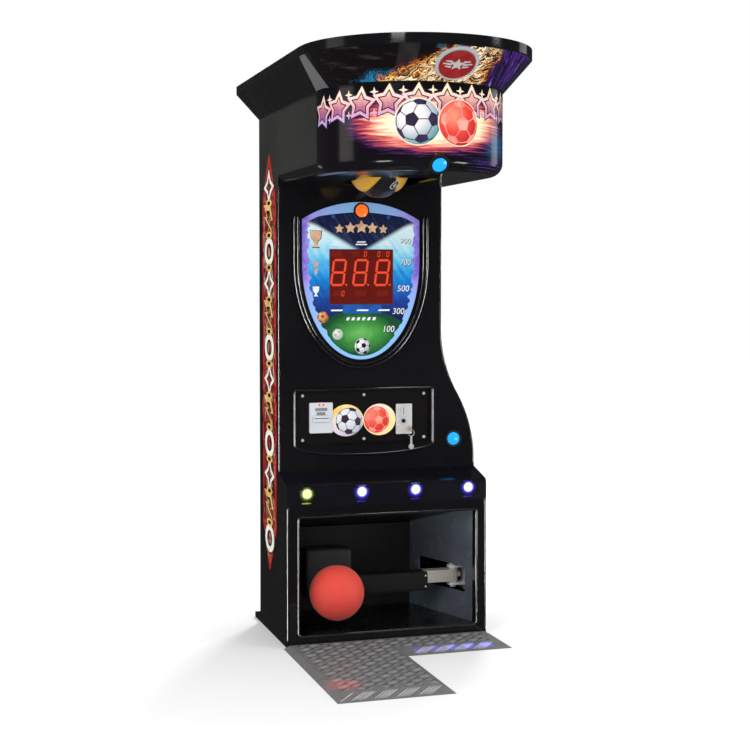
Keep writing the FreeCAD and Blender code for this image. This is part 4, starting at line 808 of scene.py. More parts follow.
# ---- Finishes of the cabinet's own nodes ----
class PUNCHMACHINE_OT_cabinet_finishes(bpy.types.Operator):
    """Give every piece of the cabinet and its fittings its paint, metal, plastic or rubber"""

    bl_idname = "punch_machine.cabinet_finishes"
    bl_label = "Cabinet finishes"

    def execute(self, context):
        chosen = sizes(context)
        by_slot = {
            "black_board": gloss_black("board_lacquer", (0.0036, 0.0036, 0.004), 0.14, 0.14, 0.00008, 0.3),
            "black_moulding": gloss_black("gel_coat", rough=0.09),
            "plain_board": flat_paint("raw_board", (0.32, 0.21, 0.12), 0.62, 0.0002),
            "chamber_grey": flat_paint("chamber_back_paint", (0.015, 0.0155, 0.017), 0.34),
            "zinc_steel": brushed_metal("satin_steel", (0.34, 0.34, 0.33), 0.34),
            "dark_steel": flat_paint("dark_powder_coat", (0.012, 0.012, 0.013), 0.42),
            "tread_aluminium": tread_metal("tread_aluminium", (0.21, 0.21, 0.212), 0.48),
            "black_rubber": rubber("black_rubber", (0.014, 0.014, 0.014)),
            "red_ball": ball_rubber("ball_rubber", tuple(chosen.ball_colour)),
            "bag_leather": leather("black_leather", (0.012, 0.011, 0.011)),
            "nylon": moulded_plastic("nylon", (0.7, 0.68, 0.62), 0.45),
            "blue_cap": lit_plastic("blue_cap", (0.01, 0.3, 0.8), (0.0, 0.26, 0.9), 0.75),
            "orange_cap": lit_plastic("orange_cap", (0.9, 0.14, 0.02), (1.0, 0.13, 0.015), 0.8),
            "black_plastic": moulded_plastic("black_plastic", (0.01, 0.01, 0.011), 0.28),
            "grey_plastic": moulded_plastic("pale_grey_plastic", (0.6, 0.62, 0.66), 0.36),
            "lamp_lens": lit_plastic("lamp_lens", (0.8, 0.8, 0.85), (0.5, 0.55, 1.0), 1.0),
            "chrome": bright_metal("chrome", (0.78, 0.78, 0.8)),
            "brass": bright_metal("brass", (0.72, 0.52, 0.22), 0.2),
            "printed_sheet": ink("print_base", (0.05, 0.08, 0.22)),
            "red_window": self.window(),
            "circuit": moulded_plastic("circuit_lacquer", (0.02, 0.12, 0.05), 0.3),
            "dark_plate": gloss_black("coin_plate", (0.006, 0.005, 0.005), 0.12),
        }
        by_node = {
            "chamber_right": self.chamber_wall(tuple(chosen.chamber_colour)),
            # The ledge's faint violet tint is a painted sheen
            "ledge_moulding": gloss_black("ledge_gel_coat", (0.005, 0.0045, 0.008), 0.2, 0.1, 0.00006, 0.4),
            "chamber_floor": gloss_black("chamber_floor_paint", (0.003, 0.003, 0.003), 0.22, 0.2),
            "coin_acceptor": brushed_metal("coin_plate_steel", (0.8, 0.8, 0.8), 0.24, (60.0, 60.0, 1.0)),
            "hinge_bracket": brushed_metal("bracket_steel", (0.82, 0.82, 0.82), 0.22, (60.0, 60.0, 1.0)),
            "kick_arm": brushed_metal("arm_steel", (0.62, 0.6, 0.53), 0.3, (1.0, 60.0, 60.0)),
        }
        for name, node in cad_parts.items():
            for slot in node.material_slots:
                finish = by_node.get(name) or by_slot.get(slot.material.name.split(".")[0])
                if finish is None:
                    raise ValueError(f"{name}: no finish for {slot.material.name}")
                slot.material = finish
        return {"FINISHED"}

    @staticmethod
    def chamber_wall(tone):
        """Blue-grey paint, paler towards the ceiling as painted light, and paler low down at the back."""
        recipe = Recipe("chamber_wall_paint")
        x, y, z = recipe.place()
        where = recipe.vector(x, y, z)
        cloud = recipe.noise(where, 9.0, 4.0, 0.6, 0.8)
        fine = recipe.noise(where, 700.0, 2.0, 0.6)
        # Painted light: the wall is painted paler towards the top; it is also paler low down at the back
        rubbed = z.rise(0.34, 0.5) * 0.8 + (1 - z.rise(0.05, 0.2)) * y.rise(-0.16, 0.1)
        level = (rubbed * 0.75 + (cloud - 0.5) * 0.55 + 0.12).clamped()
        darker = (0.78 * tone[0], 0.7 * tone[1], 0.82 * tone[2])
        paler = (1.55 * tone[0], 1.85 * tone[1], 1.8 * tone[2])
        colour = recipe.over(level, darker, paler)
        return recipe.finish(colour, cloud * 0.12 + 0.2, fine, 0.00006, specular=0.45)

    @staticmethod
    def window():
        """Dark red acrylic with the dull dots of the unlit display behind it."""
        recipe = Recipe("red_window")
        x, _, z = recipe.place()
        dots = ((x * 1900.0).sine() * (z * 1900.0).sine()).rise(0.2, 0.9)
        cloud = recipe.noise(recipe.vector(x, z), 14.0, 4.0, 0.6)
        colour = recipe.over(dots * 0.55 + cloud * 0.25, (0.065, 0.004, 0.003), (0.17, 0.014, 0.008))
        return recipe.finish(
            colour, cloud * 0.1 + 0.06, cloud, 0.00008, coat=1.0, coat_rough=0.03, glow=colour, glow_power=0.45)


# ---- Tread plate ----
def ridge(bm, centre, along, normal, length, width, height, finish=0):
    """A small lens-shaped ridge, as pressed into tread plate or left by a stitch."""
    across = normal.cross(along).normalized()
    count = 8
    rings = []
    for share, lift in ((1.0, -0.0003), (0.78, height * 0.75), (0.35, height)):
        ring = []
        for i in range(count):
            a = 2 * math.pi * (i + 0.5) / count
            ring.append(bm.verts.new(centre + along * (math.cos(a) * length / 2 * (0.4 + 0.6 * share))
                                     + across * (math.sin(a) * width / 2 * share) + normal * lift))
        rings.append(ring)
    for low, high in zip(rings, rings[1:]):
        for i in range(count):
            j = (i + 1) % count
            bm.faces.new([low[i], low[j], high[j], high[i]]).material_index = finish
    bm.faces.new(rings[-1]).material_index = finish


class PUNCHMACHINE_OT_tread_bars(bpy.types.Operator):
    """Raise groups of five bars on the tread plate, each group square to the next, and rib its bent front edge"""

    bl_idname = "punch_machine.tread_bars"
    bl_label = "Tread bars"
    pitch = 0.045  # from one group to the next
    spacing = 0.0078  # from one bar to the next in a group
    bar_width = 0.0042
    shade_line_length = 1.36  # length of the painted shadow line along an outer bar, in pitches
    rib_pitch = 0.0135
    rib_group, rib_gap = 4, 2
    lowest = 0.0015  # no bar ends nearer the floor
    sloping = -0.05  # the plate faces this far forwards where it bends down
    same_face = 0.999
    level_face = 0.5
    above = 0.1  # height from which the plate is felt for
    # Finishes: bars painted as the lit copy, outer bars painted dark as shade, the painted shadow line under them, and
    # the edge ribs
    rubbed, worn, dirt, edge = range(4)

    def execute(self, context):
        chosen = sizes(context)
        tree = surface_of("tread_plate")
        low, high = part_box("tread_plate")
        bm = bmesh.new()
        for column in range(math.ceil((high.x - low.x) / self.pitch)):
            for row in range(math.ceil((high.y - low.y) / self.pitch)):
                centre = Vector((low.x + (column + 0.5) * self.pitch, low.y + (row + 0.5) * self.pitch, self.above))
                rising = (column + row) % 2 == 1
                along = Vector((1, 1 if rising else -1, 0)).normalized()
                for bar in range(-2, 3):
                    middle = centre + Vector((-along.y, along.x, 0)) * (bar * self.spacing)
                    if not self.slopes(tree, middle):
                        # The outer bars of each rising group are painted dark as shade; the others are the lit copy
                        finish = self.worn if rising and abs(bar) == 2 else self.rubbed
                        self.lay_bar(bm, tree, middle, along * chosen.bar_length, chosen.bar_height, finish)
        self.lay_edge_ribs(bm, tree, low, high, chosen.bar_height)
        # The pale and the dark bars are lit and shaded copies of one aluminium; the darkest finish is painted shadow
        finishes = [
            tread_metal("rubbed_bars", (0.3, 0.3, 0.3), 0.44), tread_metal("worn_bars", (0.05, 0.05, 0.05), 0.5),
            tread_metal("bar_dirt", (0.02, 0.019, 0.019), 0.6), tread_metal("edge_ribs", (0.66, 0.66, 0.66), 0.36),
        ]
        bars = made("tread_bars", bm, finishes, "cabinet", 60.0)
        if not bars.data.polygons:
            raise ValueError("no tread bar fits on the plate")
        return {"FINISHED"}

    def slopes(self, tree, place):
        """Whether the plate bends down to the front here."""
        met = tree.ray_cast(place, DOWNWARD)
        return met[0] is not None and met[1].y < self.sloping and met[1].z > self.level_face

    def lay_bar(self, bm, tree, middle, reach, height, finish):
        """One bar with its ends on the same face of the plate; a shaded one stands in a painted shadow line."""
        def met(share):
            return tree.ray_cast(middle + reach * share, DOWNWARD)

        here, *ends = met(0.0), met(-0.5), met(0.5)
        if here[0] is None or here[1].z < self.level_face or any(
                hit[0] is None or hit[0].z < self.lowest or hit[1].dot(here[1]) < self.same_face for hit in ends):
            return
        normal = here[1].normalized()
        run = (ends[1][0] - ends[0][0]).normalized()
        # A line of painted shadow runs under each shaded bar
        if finish == self.worn:
            line = self.pitch * self.shade_line_length
            far = [met(side * line / 2 / reach.length) for side in (-1, 1)]
            whole = all(hit[0] is not None and hit[1].dot(normal) > self.same_face for hit in far)
            ridge(bm, here[0], run, normal, line if whole else reach.length, self.bar_width * 1.5, FILM, self.dirt)
        ridge(bm, here[0], run, normal, reach.length, self.bar_width, height, finish)

    def lay_edge_ribs(self, bm, tree, low, high, height):
        """Slanting ribs, in groups with gaps between, along the bent front edges."""
        step = 0.002
        for i in range(int((high.x - low.x) / self.rib_pitch)):
            x = low.x + (i + 0.5) * self.rib_pitch
            bent = [y for y in (low.y + step * k for k in range(int((high.y - low.y) / step)))
                    if self.slopes(tree, Vector((x, y, self.above)))]
            if bent and i % (self.rib_group + self.rib_gap) < self.rib_group:
                reach = Vector((1, 1, 0)) * (0.72 * (bent[-1] - bent[0]))
                self.lay_bar(bm, tree, Vector((x, (bent[0] + bent[-1]) / 2, self.above)), reach, height, self.edge)


# ---- Side print ----
class PUNCHMACHINE_OT_side_print(bpy.types.Operator):
    """Lay the long printed film with its flames and flashes on the left side"""

    bl_idname = "punch_machine.side_print"
    bl_label = "Side print"
    low_y, high_y = -0.122, 0.14
    low_z, high_z = 0.255, 1.945
    shapes = 12
    end_gap = 0.065
    red, flame, gold, white, black = range(5)

    def execute(self, context):
        middle = (self.low_y + self.high_y) / 2
        half = (self.high_y - self.low_y) / 2
        left, right = [], []
        steps = 64
        for i in range(steps + 1):
            z = self.low_z + (self.high_z - self.low_z) * i / steps
            tooth = 0.012 * (i % 2) + 0.01 * math.sin(i * 1.7)
            end = min(1.0, 0.04 + 9.0 * min(i, steps - i) / steps)
            left.append((middle - (half - 0.004 - abs(tooth)) * end, z))
            right.append((middle + (half - 0.004 - abs(tooth)) * end, z))
        outline = left + right[::-1]

        def shrunk(by):
            tall = self.high_z - self.low_z
            return [(middle + (y - middle) * by, self.low_z + 0.02 + (z - self.low_z) * (1 - 0.04 / tall))
                    for y, z in outline]

        bm = bmesh.new()
        lay_film(bm, [outline], side_place, 1, self.red, MEDIUM)
        lay_film(bm, [shrunk(0.84)], side_place, 2, self.flame, MEDIUM)
        span = (self.high_z - self.low_z - 2 * self.end_gap) / self.shapes
        for i in range(self.shapes):
            z = self.low_z + self.end_gap + (i + 0.5) * span
            shape = (oval(middle, z, 0.088, span * 0.47, 28), bolt(middle, z, 0.19, span * 1.02, 0.15),
                     star(middle, z, 0.1, 0.5, 4, 0.0, 0.78))[i % 3]
            tone = (self.white, self.gold, self.white)[i % 3]
            for layer, share, finish in ((3, 1.0, self.black), (4, 0.9, tone), (5, 0.5, self.black),
                                        (6, 0.34, self.flame)):
                ring = [(middle + (y - middle) * share, z + (w - z) * (share + 0.04)) for y, w in shape]
                lay_film(bm, [ring], side_place, layer, finish, COARSE)
            if i:
                for layer, wide, high, finish in ((7, 0.05, 0.016, self.gold), (8, 0.026, 0.008, self.black)):
                    lay_film(bm, [oval(middle, z - span / 2, wide, high, 16)], side_place, layer, finish, COARSE)
        finishes = [
            ink("side_red", (0.62, 0.01, 0.008), (0.4, 0.006, 0.006), 0.3, 0.1, 0.15),
            self.flames(),
            ink("side_gold", (0.85, 0.58, 0.2), (0.55, 0.3, 0.08), 0.3, 0.1, 0.15),
            ink("side_white", (0.96, 0.93, 0.86), (0.8, 0.72, 0.6), 0.3, 0.1, 0.15),
            ink("side_black", (0.006, 0.005, 0.006), None, 0.3, 0.1, 0.15),
        ]
        made("side_print", bm, finishes, "cabinet")
        return {"FINISHED"}

    @staticmethod
    def flames():
        """Black ground with white and grey licks of flame."""
        recipe = Recipe("side_flames")
        _, y, z = recipe.place()
        warp = recipe.noise(recipe.vector(y, z), 9.0, 3.0, 0.6, 1.0)
        licks = recipe.noise(recipe.vector(y * 5.0 + warp, z * 1.6 + warp), 5.0, 5.0, 0.6, 1.5)
        colour = recipe.tones(
            licks, (0.42, (0.006, 0.005, 0.006)), (0.5, (0.5, 0.01, 0.01)), (0.54, (0.012, 0.008, 0.008)),
            (0.62, (0.7, 0.5, 0.3)), (0.68, (0.01, 0.008, 0.008)))
        return recipe.finish(colour, warp * 0.15 + 0.22, licks, 0.00004, coat=0.1, coat_rough=0.06, specular=0.15)


# ---- Hood print ----
def arc(degrees):
    """Degrees round the hood from the middle of its front, as metres of arc."""
    return HOOD_RADIUS * math.radians(degrees)


class PUNCHMACHINE_OT_hood_print(bpy.types.Operator):
    """Print the hood: a glow, an arched band of stars, a football and a red ball"""

    bl_idname = "punch_machine.hood_print"
    bl_label = "Hood print"
    white_ball = (-0.0755, 1.973, 0.078)
    red_ball = (0.074, 1.972, 0.077)
    star_turns = (-79, -63, -46.5, -29.5, -12.5, 4.5, 21.5, 38.5, 55.5)
    sheet, outline, face, core, white_skin, patch, red_skin, seam, rim = range(9)

    def execute(self, context):
        chosen = sizes(context)
        bm = bmesh.new()
        lay_film(bm, [rectangle(arc(-86), arc(86), 1.812, 2.098)], hood_place, 1, self.sheet, FINER)
        for i, turn in enumerate(self.star_turns):
            middle = 2.021 + 0.026 * (1 - ((turn - 12) / 92) ** 2)
            s = arc(turn)
            lean = -0.1 * (turn - 10) / 60
            for layer, share, waist, finish in ((2, 1.0, 0.56, self.outline), (3, 0.9, 0.56, self.face),
                                               (4, 0.62, 0.54, self.outline), (5, 0.5, 0.54, self.core)):
                ring = star(s, middle, chosen.star_size * share, waist, 5, lean, 1.02)
                lay_film(bm, [ring], hood_place, layer, finish, FINE)
            if i:
                gap = (s + arc(self.star_turns[i - 1])) / 2
                for drop, size in ((0.034, 0.017), (-0.036, 0.015)):
                    lay_film(bm, [star(gap, middle + drop, size, 0.34, 4)], hood_place, 3, self.face, FINE)
        lay_ball(bm, hood_place, *self.white_ball, 6, self.white_skin, self.patch, (0.35, -0.25, 0.4),
                 rim=self.rim)
        lay_ball(bm, hood_place, *self.red_ball, 9, self.red_skin, self.seam, (-0.5, 0.2, 0.1), rim=self.rim)
        finishes = [
            self.glow(),
            ink("star_outline", (0.06, 0.015, 0.05)),
            shaded_ink("star_face", 1.975, 2.125, (0.0, (0.42, 0.36, 0.8)), (0.3, (0.78, 0.36, 0.42)),
                       (0.55, (0.93, 0.62, 0.6)), (0.8, (1.0, 0.86, 0.52)), (1.0, (1.0, 0.95, 0.8))),
            shaded_ink("star_core", 1.98, 2.08, (0.0, (0.16, 0.08, 0.3)), (0.45, (0.46, 0.14, 0.24)),
                       (0.8, (0.8, 0.42, 0.34)), (1.0, (0.95, 0.7, 0.5))),
            ball_ink("white_ball_print", self.white_ball, (0.0, (1.0, 0.93, 0.8)),
                     (0.35, (0.86, 0.8, 0.82)), (0.75, (0.3, 0.42, 0.48)), (1.0, (0.05, 0.24, 0.26))),
            ink("ball_patch", (0.022, 0.02, 0.05), (0.06, 0.03, 0.1)),
            ball_ink("red_ball_print", self.red_ball, (0.0, (0.95, 0.3, 0.2)),
                     (0.5, (0.82, 0.06, 0.04)), (1.0, (0.42, 0.012, 0.02))),
            ink("ball_line", (0.95, 0.42, 0.34), (0.75, 0.16, 0.12)),
            ink("ball_rim", (0.97, 0.86, 0.6), (0.9, 0.6, 0.4)),
        ]
        made("hood_print", bm, finishes, "cabinet", 20.0)
        return {"FINISHED"}

    @staticmethod
    def glow():
        """Pale glow round the balls that streaks out to red and violet, with blue and violet below right."""
        recipe = Recipe("hood_glow")
        s, z, _ = recipe.print_place()
        streaks = recipe.noise(recipe.vector(s * 1.6, z * 26.0), 5.0, 4.0, 0.6, 0.6)
        grain = recipe.noise(recipe.vector(s, z), 140.0, 3.0, 0.7)
        across = (s + 0.004) / 0.285
        down = (z - 1.967) / 0.092
        reach = (across * across + down * down).to_power(0.5)
        level = (1.22 - reach + (streaks - 0.5) * 0.85).clamped()
        colour = recipe.tones(
            level, (0.0, (0.004, 0.003, 0.006)), (0.16, (0.06, 0.01, 0.08)), (0.3, (0.55, 0.07, 0.07)),
            (0.44, (0.92, 0.38, 0.28)), (0.58, (1.0, 0.82, 0.5)), (0.85, (1.0, 0.95, 0.8)))
        drift = (streaks - 0.5) * 0.1
        blue = (s + drift).rise(0.17, 0.27) * (1 - (s - drift).rise(0.3, 0.43))
        blue = blue * (z + drift * 0.3).rise(1.845, 1.9) * (1 - (z - drift * 0.3).rise(1.91, 1.99))
        colour = recipe.over(blue * (streaks * 1.2 + 0.2), colour, (0.006, 0.1, 0.24))
        bend = s.rise(0.08, 0.2) * (1 - z.rise(1.835, 1.865)) * streaks.rise(0.35, 0.6)
        colour = recipe.over(bend * 0.8, colour, (0.07, 0.03, 0.26))
        return recipe.finish(colour, grain * 0.08 + 0.11, grain, 0.00002, coat=0.7, coat_rough=0.13)


# ---- Visor print ----
BADGE_OUT = Vector((0, -VISOR_BREAK_Z + VISOR_LOW_Z, -VISOR_FLARE - VISOR_REACH)).normalized()
BADGE_PLACE = Vector((-0.038, -1.1535, 2.161)) + BADGE_OUT * 0.006


def badge_place(u, v, lift):
    """A point on the round badge's field: u to the right, v up its slope."""
    up = BADGE_OUT.cross(Vector((1, 0, 0)))
    if up.z < 0:
        up = -up
    return BADGE_PLACE + Vector((u, 0, 0)) + up * v + BADGE_OUT * lift


class PUNCHMACHINE_OT_visor_print(bpy.types.Operator):
    """Print flames on the visor and set the dark red enamel and plain star of its badge"""

    bl_idname = "punch_machine.visor_print"
    bl_label = "Visor print"
    enamel, silver = range(2)
    badge_radius = 0.0635
    relief = 8

    def execute(self, context):
        bm = bmesh.new()
        lay_film(bm, [rectangle(arc(-70), arc(72), 2.11, 2.213)], visor_place, 1, 0, FINER)
        made("visor_print", bm, [self.flames()], "cabinet", 20.0)

        bm = bmesh.new()
        field = oval(0, 0, self.badge_radius, self.badge_radius, 64)
        lay_film(bm, [field], badge_place, 1, self.enamel, FINE)
        lay_film(bm, [star(0, 0.002, 0.027, 0.45)], badge_place, self.relief, self.silver, FINE)
        for side in (-1, 1):
            for height, length in ((0.014, 0.022), (0.002, 0.03), (-0.01, 0.02)):
                wing = [(side * u, v) for u, v in ((0.02, height - 0.0038), (0.022 + length, height + 0.0012),
                                                   (0.022 + length, height + 0.0052), (0.02, height + 0.0038))]
                lay_film(bm, [wing], badge_place, self.relief, self.silver, FINE)
        finishes = [ink("badge_enamel", (0.24, 0.008, 0.01), (0.34, 0.02, 0.02)),
                    bright_metal("badge_silver", (0.86, 0.86, 0.88))]
        made("badge_face", bm, finishes, "cabinet", 20.0)
        return {"FINISHED"}

    @staticmethod
    def flames():
        """Orange fire leaning to the right, teal behind it at the left, violet at the right, and grey painted
        reflection streaks at the far left.
        """
        recipe = Recipe("visor_flames")
        s, z, _ = recipe.print_place()
        bend = recipe.noise(recipe.vector(s, z), 16.0, 4.0, 0.6, 1.2)
        lean = s - (z - 2.165) * 2.2 + (bend - 0.5) * 0.16
        licks = recipe.noise(recipe.vector(lean * 3.0, z * 0.9 + s * 0.5), 16.0, 6.0, 0.68, 2.2)
        fire = lean.rise(-0.17, 0.02) * (1 - (s + (bend - 0.5) * 0.12).rise(0.11, 0.21))
        level = (fire * licks.rise(0.455, 0.6) * 1.3 - (1 - fire) * 0.12).clamped()
        colour = recipe.tones(
            level, (0.0, (0.004, 0.003, 0.004)), (0.14, (0.1, 0.015, 0.01)), (0.28, (0.7, 0.15, 0.01)),
            (0.44, (0.95, 0.42, 0.04)), (0.62, (1.0, 0.72, 0.22)), (0.85, (1.0, 0.95, 0.72)))
        teal = lean.rise(-0.21, -0.15) * (1 - lean.rise(-0.14, -0.07)) * (1 - z.rise(2.13, 2.15))
        colour = recipe.over(teal * licks.rise(0.42, 0.6), colour, (0.02, 0.22, 0.42))
        sky = fire * z.rise(2.17, 2.2) * bend.rise(0.5, 0.62)
        colour = recipe.over(sky * 0.8, colour, (0.12, 0.36, 0.52))
        dusk = s.rise(0.14, 0.2) * (1 - s.rise(0.34, 0.42))
        ribs = recipe.noise(recipe.vector(s * 5.0 + z * 2.0, z), 12.0, 5.0, 0.7, 1.0)
        colour = recipe.over(dusk * ribs.rise(0.42, 0.6), colour, (0.06, 0.014, 0.2))
        colour = recipe.over(dusk * ribs.rise(0.62, 0.7) * 0.6, colour, (0.62, 0.55, 0.85))
        # The grey streaks at the far left are painted reflection
        streaks = recipe.noise(recipe.vector(s * 1.2 - z * 3.0, s * 3.0 + z * 14.0), 4.0, 4.0, 0.62, 0.5)
        painted_reflection_streaks = (1 - lean.rise(-0.26, -0.16)) * streaks.rise(0.52, 0.72)
        colour = recipe.over(painted_reflection_streaks * 0.8, colour, (0.055, 0.036, 0.036))
        return recipe.finish(colour, bend * 0.08 + 0.06, bend, 0.00004, coat=0.7, coat_rough=0.05)


# ---- Score shield ----
def shield_outline(inset=0.0, tip=None):
    """The shield's outline, moved in all round."""
    tip = inset if tip is None else tip
    half = SHIELD_HALF - inset
    rise = SHIELD_TOP_Z - SHIELD_CORNER_Z
    radius = (SHIELD_HALF ** 2 + rise ** 2) / (2 * rise)
    centre_z = SHIELD_TOP_Z - radius
    reach = radius - inset
    corner = math.asin(half / reach)
    out = []
    for i in range(25):
        a = corner - 2 * corner * i / 24
        out.append((TOWER_X + reach * math.sin(a), centre_z + reach * math.cos(a)))
    depth = SHIELD_WAIST_Z - SHIELD_TIP_Z - tip
    for i in range(41):
        a = math.pi + math.pi * i / 40
        out.append((TOWER_X + half * math.cos(a), SHIELD_WAIST_Z + depth * math.sin(a)))
    return out


def lay_number(bm, text, x, z, height, layer, finish):
    """Lays plain digits, cut from the built-in upright face and leant over, as film on the shield."""
    curve = bpy.data.curves.new("number", "FONT")
    curve.body, curve.size, curve.align_x, curve.align_y = text, height / 0.7, "CENTER", "CENTER"
    holder = placed("number", curve)
    bpy.context.view_layer.update()
    flat = bpy.data.meshes.new_from_object(holder.evaluated_get(bpy.context.evaluated_depsgraph_get()))
    verts = [bm.verts.new(shield_place(x + v.co.x + 0.16 * v.co.y, z + v.co.y, layer * FILM)) for v in flat.vertices]
    for polygon in flat.polygons:
        face = bm.faces.new([verts[i] for i in polygon.vertices])
        face.normal_update()
        if face.normal.y > 0:
            face.normal_flip()
        face.material_index = finish
    bpy.data.objects.remove(holder)
    bpy.data.curves.remove(curve)
    bpy.data.meshes.remove(flat)


class PUNCHMACHINE_OT_shield_print(bpy.types.Operator):
    """Print the score shield: blue border, beams of light, a green pitch, plain numbers and balls"""

    bl_idname = "punch_machine.shield_print"
    bl_label = "Shield print"
    edge, ground, white, ball, gold, dark, pale_ball, pale_line, orange_ball, orange_line, blue = range(11)
    numbers = (("900", 0.114, 1.598, 0.022), ("700", 0.114, 1.51, 0.022), ("500", 0.105, 1.404, 0.024),
               ("300", 0.084, 1.312, 0.024), ("100", 0.042, 1.24, 0.024))
    balls = ((-0.068, 1.172, 0.033), (-0.172, 1.221, 0.022), (-0.234, 1.29, 0.023))
    cup = ((-0.02, 0.03), (0.02, 0.03), (0.017, 0.004), (0.006, -0.008), (0.006, -0.018), (0.014, -0.026),
           (-0.014, -0.026), (-0.006, -0.018), (-0.006, -0.008), (-0.017, 0.004))
    prizes_x = -0.262

    def execute(self, context):
        bm = bmesh.new()
        low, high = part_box("display_window")
        window = rectangle(low.x - 0.001, high.x + 0.001, low.z - 0.001, high.z + 0.001)
        lay_film(bm, [shield_outline(0.0015), window], shield_place, 1, self.edge, MEDIUM)
        field = [(x, min(z, 1.712 - 0.25 * abs(x - TOWER_X) ** 1.5)) for x, z in shield_outline(0.022, 0.015)]
        lay_film(bm, [self.ragged(field), window], shield_place, 2, self.ground, FINE)
        self.small_print(bm, low.z)
        for text, x, z, tall in self.numbers:
            lay_number(bm, text, x + 0.002, z - 0.002, tall, 4, self.dark)
            lay_number(bm, text, x, z, tall, 5, self.white)
        low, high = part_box("start_button_cap")
        x, z, reach = (low.x + high.x) / 2, (low.z + high.z) / 2, (high.x - low.x) / 2
        lay_film(bm, [oval(x, z, reach + 0.0075, reach + 0.0075), oval(x, z, reach + 0.0008, reach + 0.0008)],
                 shield_place, 3, self.dark, MEDIUM)
        first, second, third = self.balls
        lay_ball(bm, shield_place, *first, 4, self.ball, self.dark, (0.5, 0.2, 0.3))
        lay_ball(bm, shield_place, *second, 4, self.pale_ball, self.pale_line, (0.1, 0.5, 0.3))
        lay_ball(bm, shield_place, *third, 4, self.orange_ball, self.orange_line, (0.4, 0.1, 0.8))
        finishes = [
            self.border(), self.field(), ink("number_white", (0.92, 0.94, 0.96), (0.75, 0.78, 0.84)),
            ball_ink("pitch_ball", first, (0.0, (0.95, 0.95, 0.95)), (0.6, (0.62, 0.64, 0.66)),
                     (1.0, (0.2, 0.24, 0.24))),
            ink("gold_print", (0.8, 0.52, 0.3), (0.55, 0.3, 0.22)),
            ink("shield_dark", (0.01, 0.012, 0.03)),
            ball_ink("pale_ball", second, (0.0, (0.88, 0.88, 0.84)), (1.0, (0.34, 0.4, 0.34))),
            ink("pale_ball_line", (0.5, 0.54, 0.5)),
            ball_ink("orange_ball", third, (0.0, (0.95, 0.5, 0.2)), (1.0, (0.4, 0.1, 0.03))),
            ink("orange_ball_line", (0.28, 0.08, 0.03)),
            ink("panel_blue", (0.01, 0.11, 0.42), (0.008, 0.06, 0.28)),
        ]
        made("shield_print", bm, finishes, "cabinet", 20.0)
        return {"FINISHED"}

    @staticmethod
    def ragged(outline):
        """The field's outline with bites out of both sides, as torn paper has."""
        out = []
        for x, z in divided(outline, 0.007):
            beside = abs(x - TOWER_X) - 0.105
            if beside > 0 and z < SHIELD_CORNER_Z - 0.02:
                bite = 0.009 * max(0.0, math.sin(z * 88.0)) + 0.007 * max(0.0, math.sin(z * 211.0 + x * 9.0))
                x -= math.copysign(min(1.0, beside / 0.06) * bite, x - TOWER_X)
            out.append((x, z))
        return out

    def small_print(self, bm, window_foot):
        """The small plain shapes that fill the shield: star row, bars, cup and medal shapes."""
        def lay(ring, layer, finish, pitch=MEDIUM):
            lay_film(bm, [ring], shield_place, layer, finish, pitch)

        def lay_bar(x0, x1, x2, x3, low, high):
            """A white bar from x0 to x1 at its foot and from x3 to x2 at its top."""
            lay([(x0, low), (x1, low), (x2, high), (x3, high)], 4, self.white, COARSE)

        for i, size in enumerate((0.02, 0.025, 0.029, 0.025, 0.02)):
            x = TOWER_X + (i - 2) * 0.046
            z = 1.652 - 0.004 * abs(i - 2)
            lay(star(x + 0.002, z - 0.002, size * 1.18, 0.5), 3, self.dark)
            lay(star(x, z, size, 0.5), 4, self.gold)
        for middle in (-0.178, -0.075, 0.028):
            for row, wide in ((0, 0.04), (1, 0.052)):
                z = 1.592 - 0.01 * row
                lay_bar(middle - wide / 2 + 0.002, middle + wide / 2 - 0.002,
                        middle + wide / 2 + 0.002, middle - wide / 2 + 0.006, z - 0.0026, z + 0.0026)
        lay(rectangle(-0.15, 0.012, 1.304, window_foot - 0.003), 3, self.blue, COARSE)
        for middle in (-0.176, -0.068, 0.022):
            lay_bar(middle - 0.025, middle + 0.023, middle + 0.026, middle - 0.022, 1.3145, 1.3205)
        for i in range(6):
            x = TOWER_X - 0.058 + 0.022 * i
            lay_bar(x - 0.007, x + 0.005, x + 0.01, x - 0.002, 1.277, 1.289)
        x = self.prizes_x
        for z, size, finish in ((1.6, 1.15, self.gold), (1.392, 0.7, self.white)):
            lay([(x + size * u * 1.1 + 0.001, z + size * v * 1.08 - 0.001) for u, v in self.cup], 3, self.dark)
            lay([(x + size * u, z + size * v) for u, v in self.cup], 4, finish)
        lay(star(x, 1.502, 0.017, 0.45), 4, self.gold)
        lay(bolt(x, 1.47, 0.02, 0.03), 4, self.gold)
        for x in (TOWER_X - 0.118, TOWER_X + 0.114):
            lay(star(x, 1.712 - 0.02, 0.011, 0.45), 4, self.blue)

    @staticmethod
    def border():
        recipe = Recipe("shield_border")
        x, z, _ = recipe.print_place()
        cloud = recipe.noise(recipe.vector(x, z), 18.0, 4.0, 0.6, 1.0)
        side = (x - TOWER_X).size() / SHIELD_HALF
        level = (side * (1 - (1.5 - z).rise(0.0, 0.3) * 0.8) + (cloud - 0.5) * 0.5).clamped()
        colour = recipe.tones(
            level, (0.0, (0.26, 0.56, 0.9)), (0.55, (0.3, 0.46, 0.9)), (0.85, (0.36, 0.3, 0.82)),
            (1.0, (0.2, 0.12, 0.6)))
        return recipe.finish(colour, cloud * 0.1 + 0.1, cloud, 0.00003, coat=0.8, coat_rough=0.04)

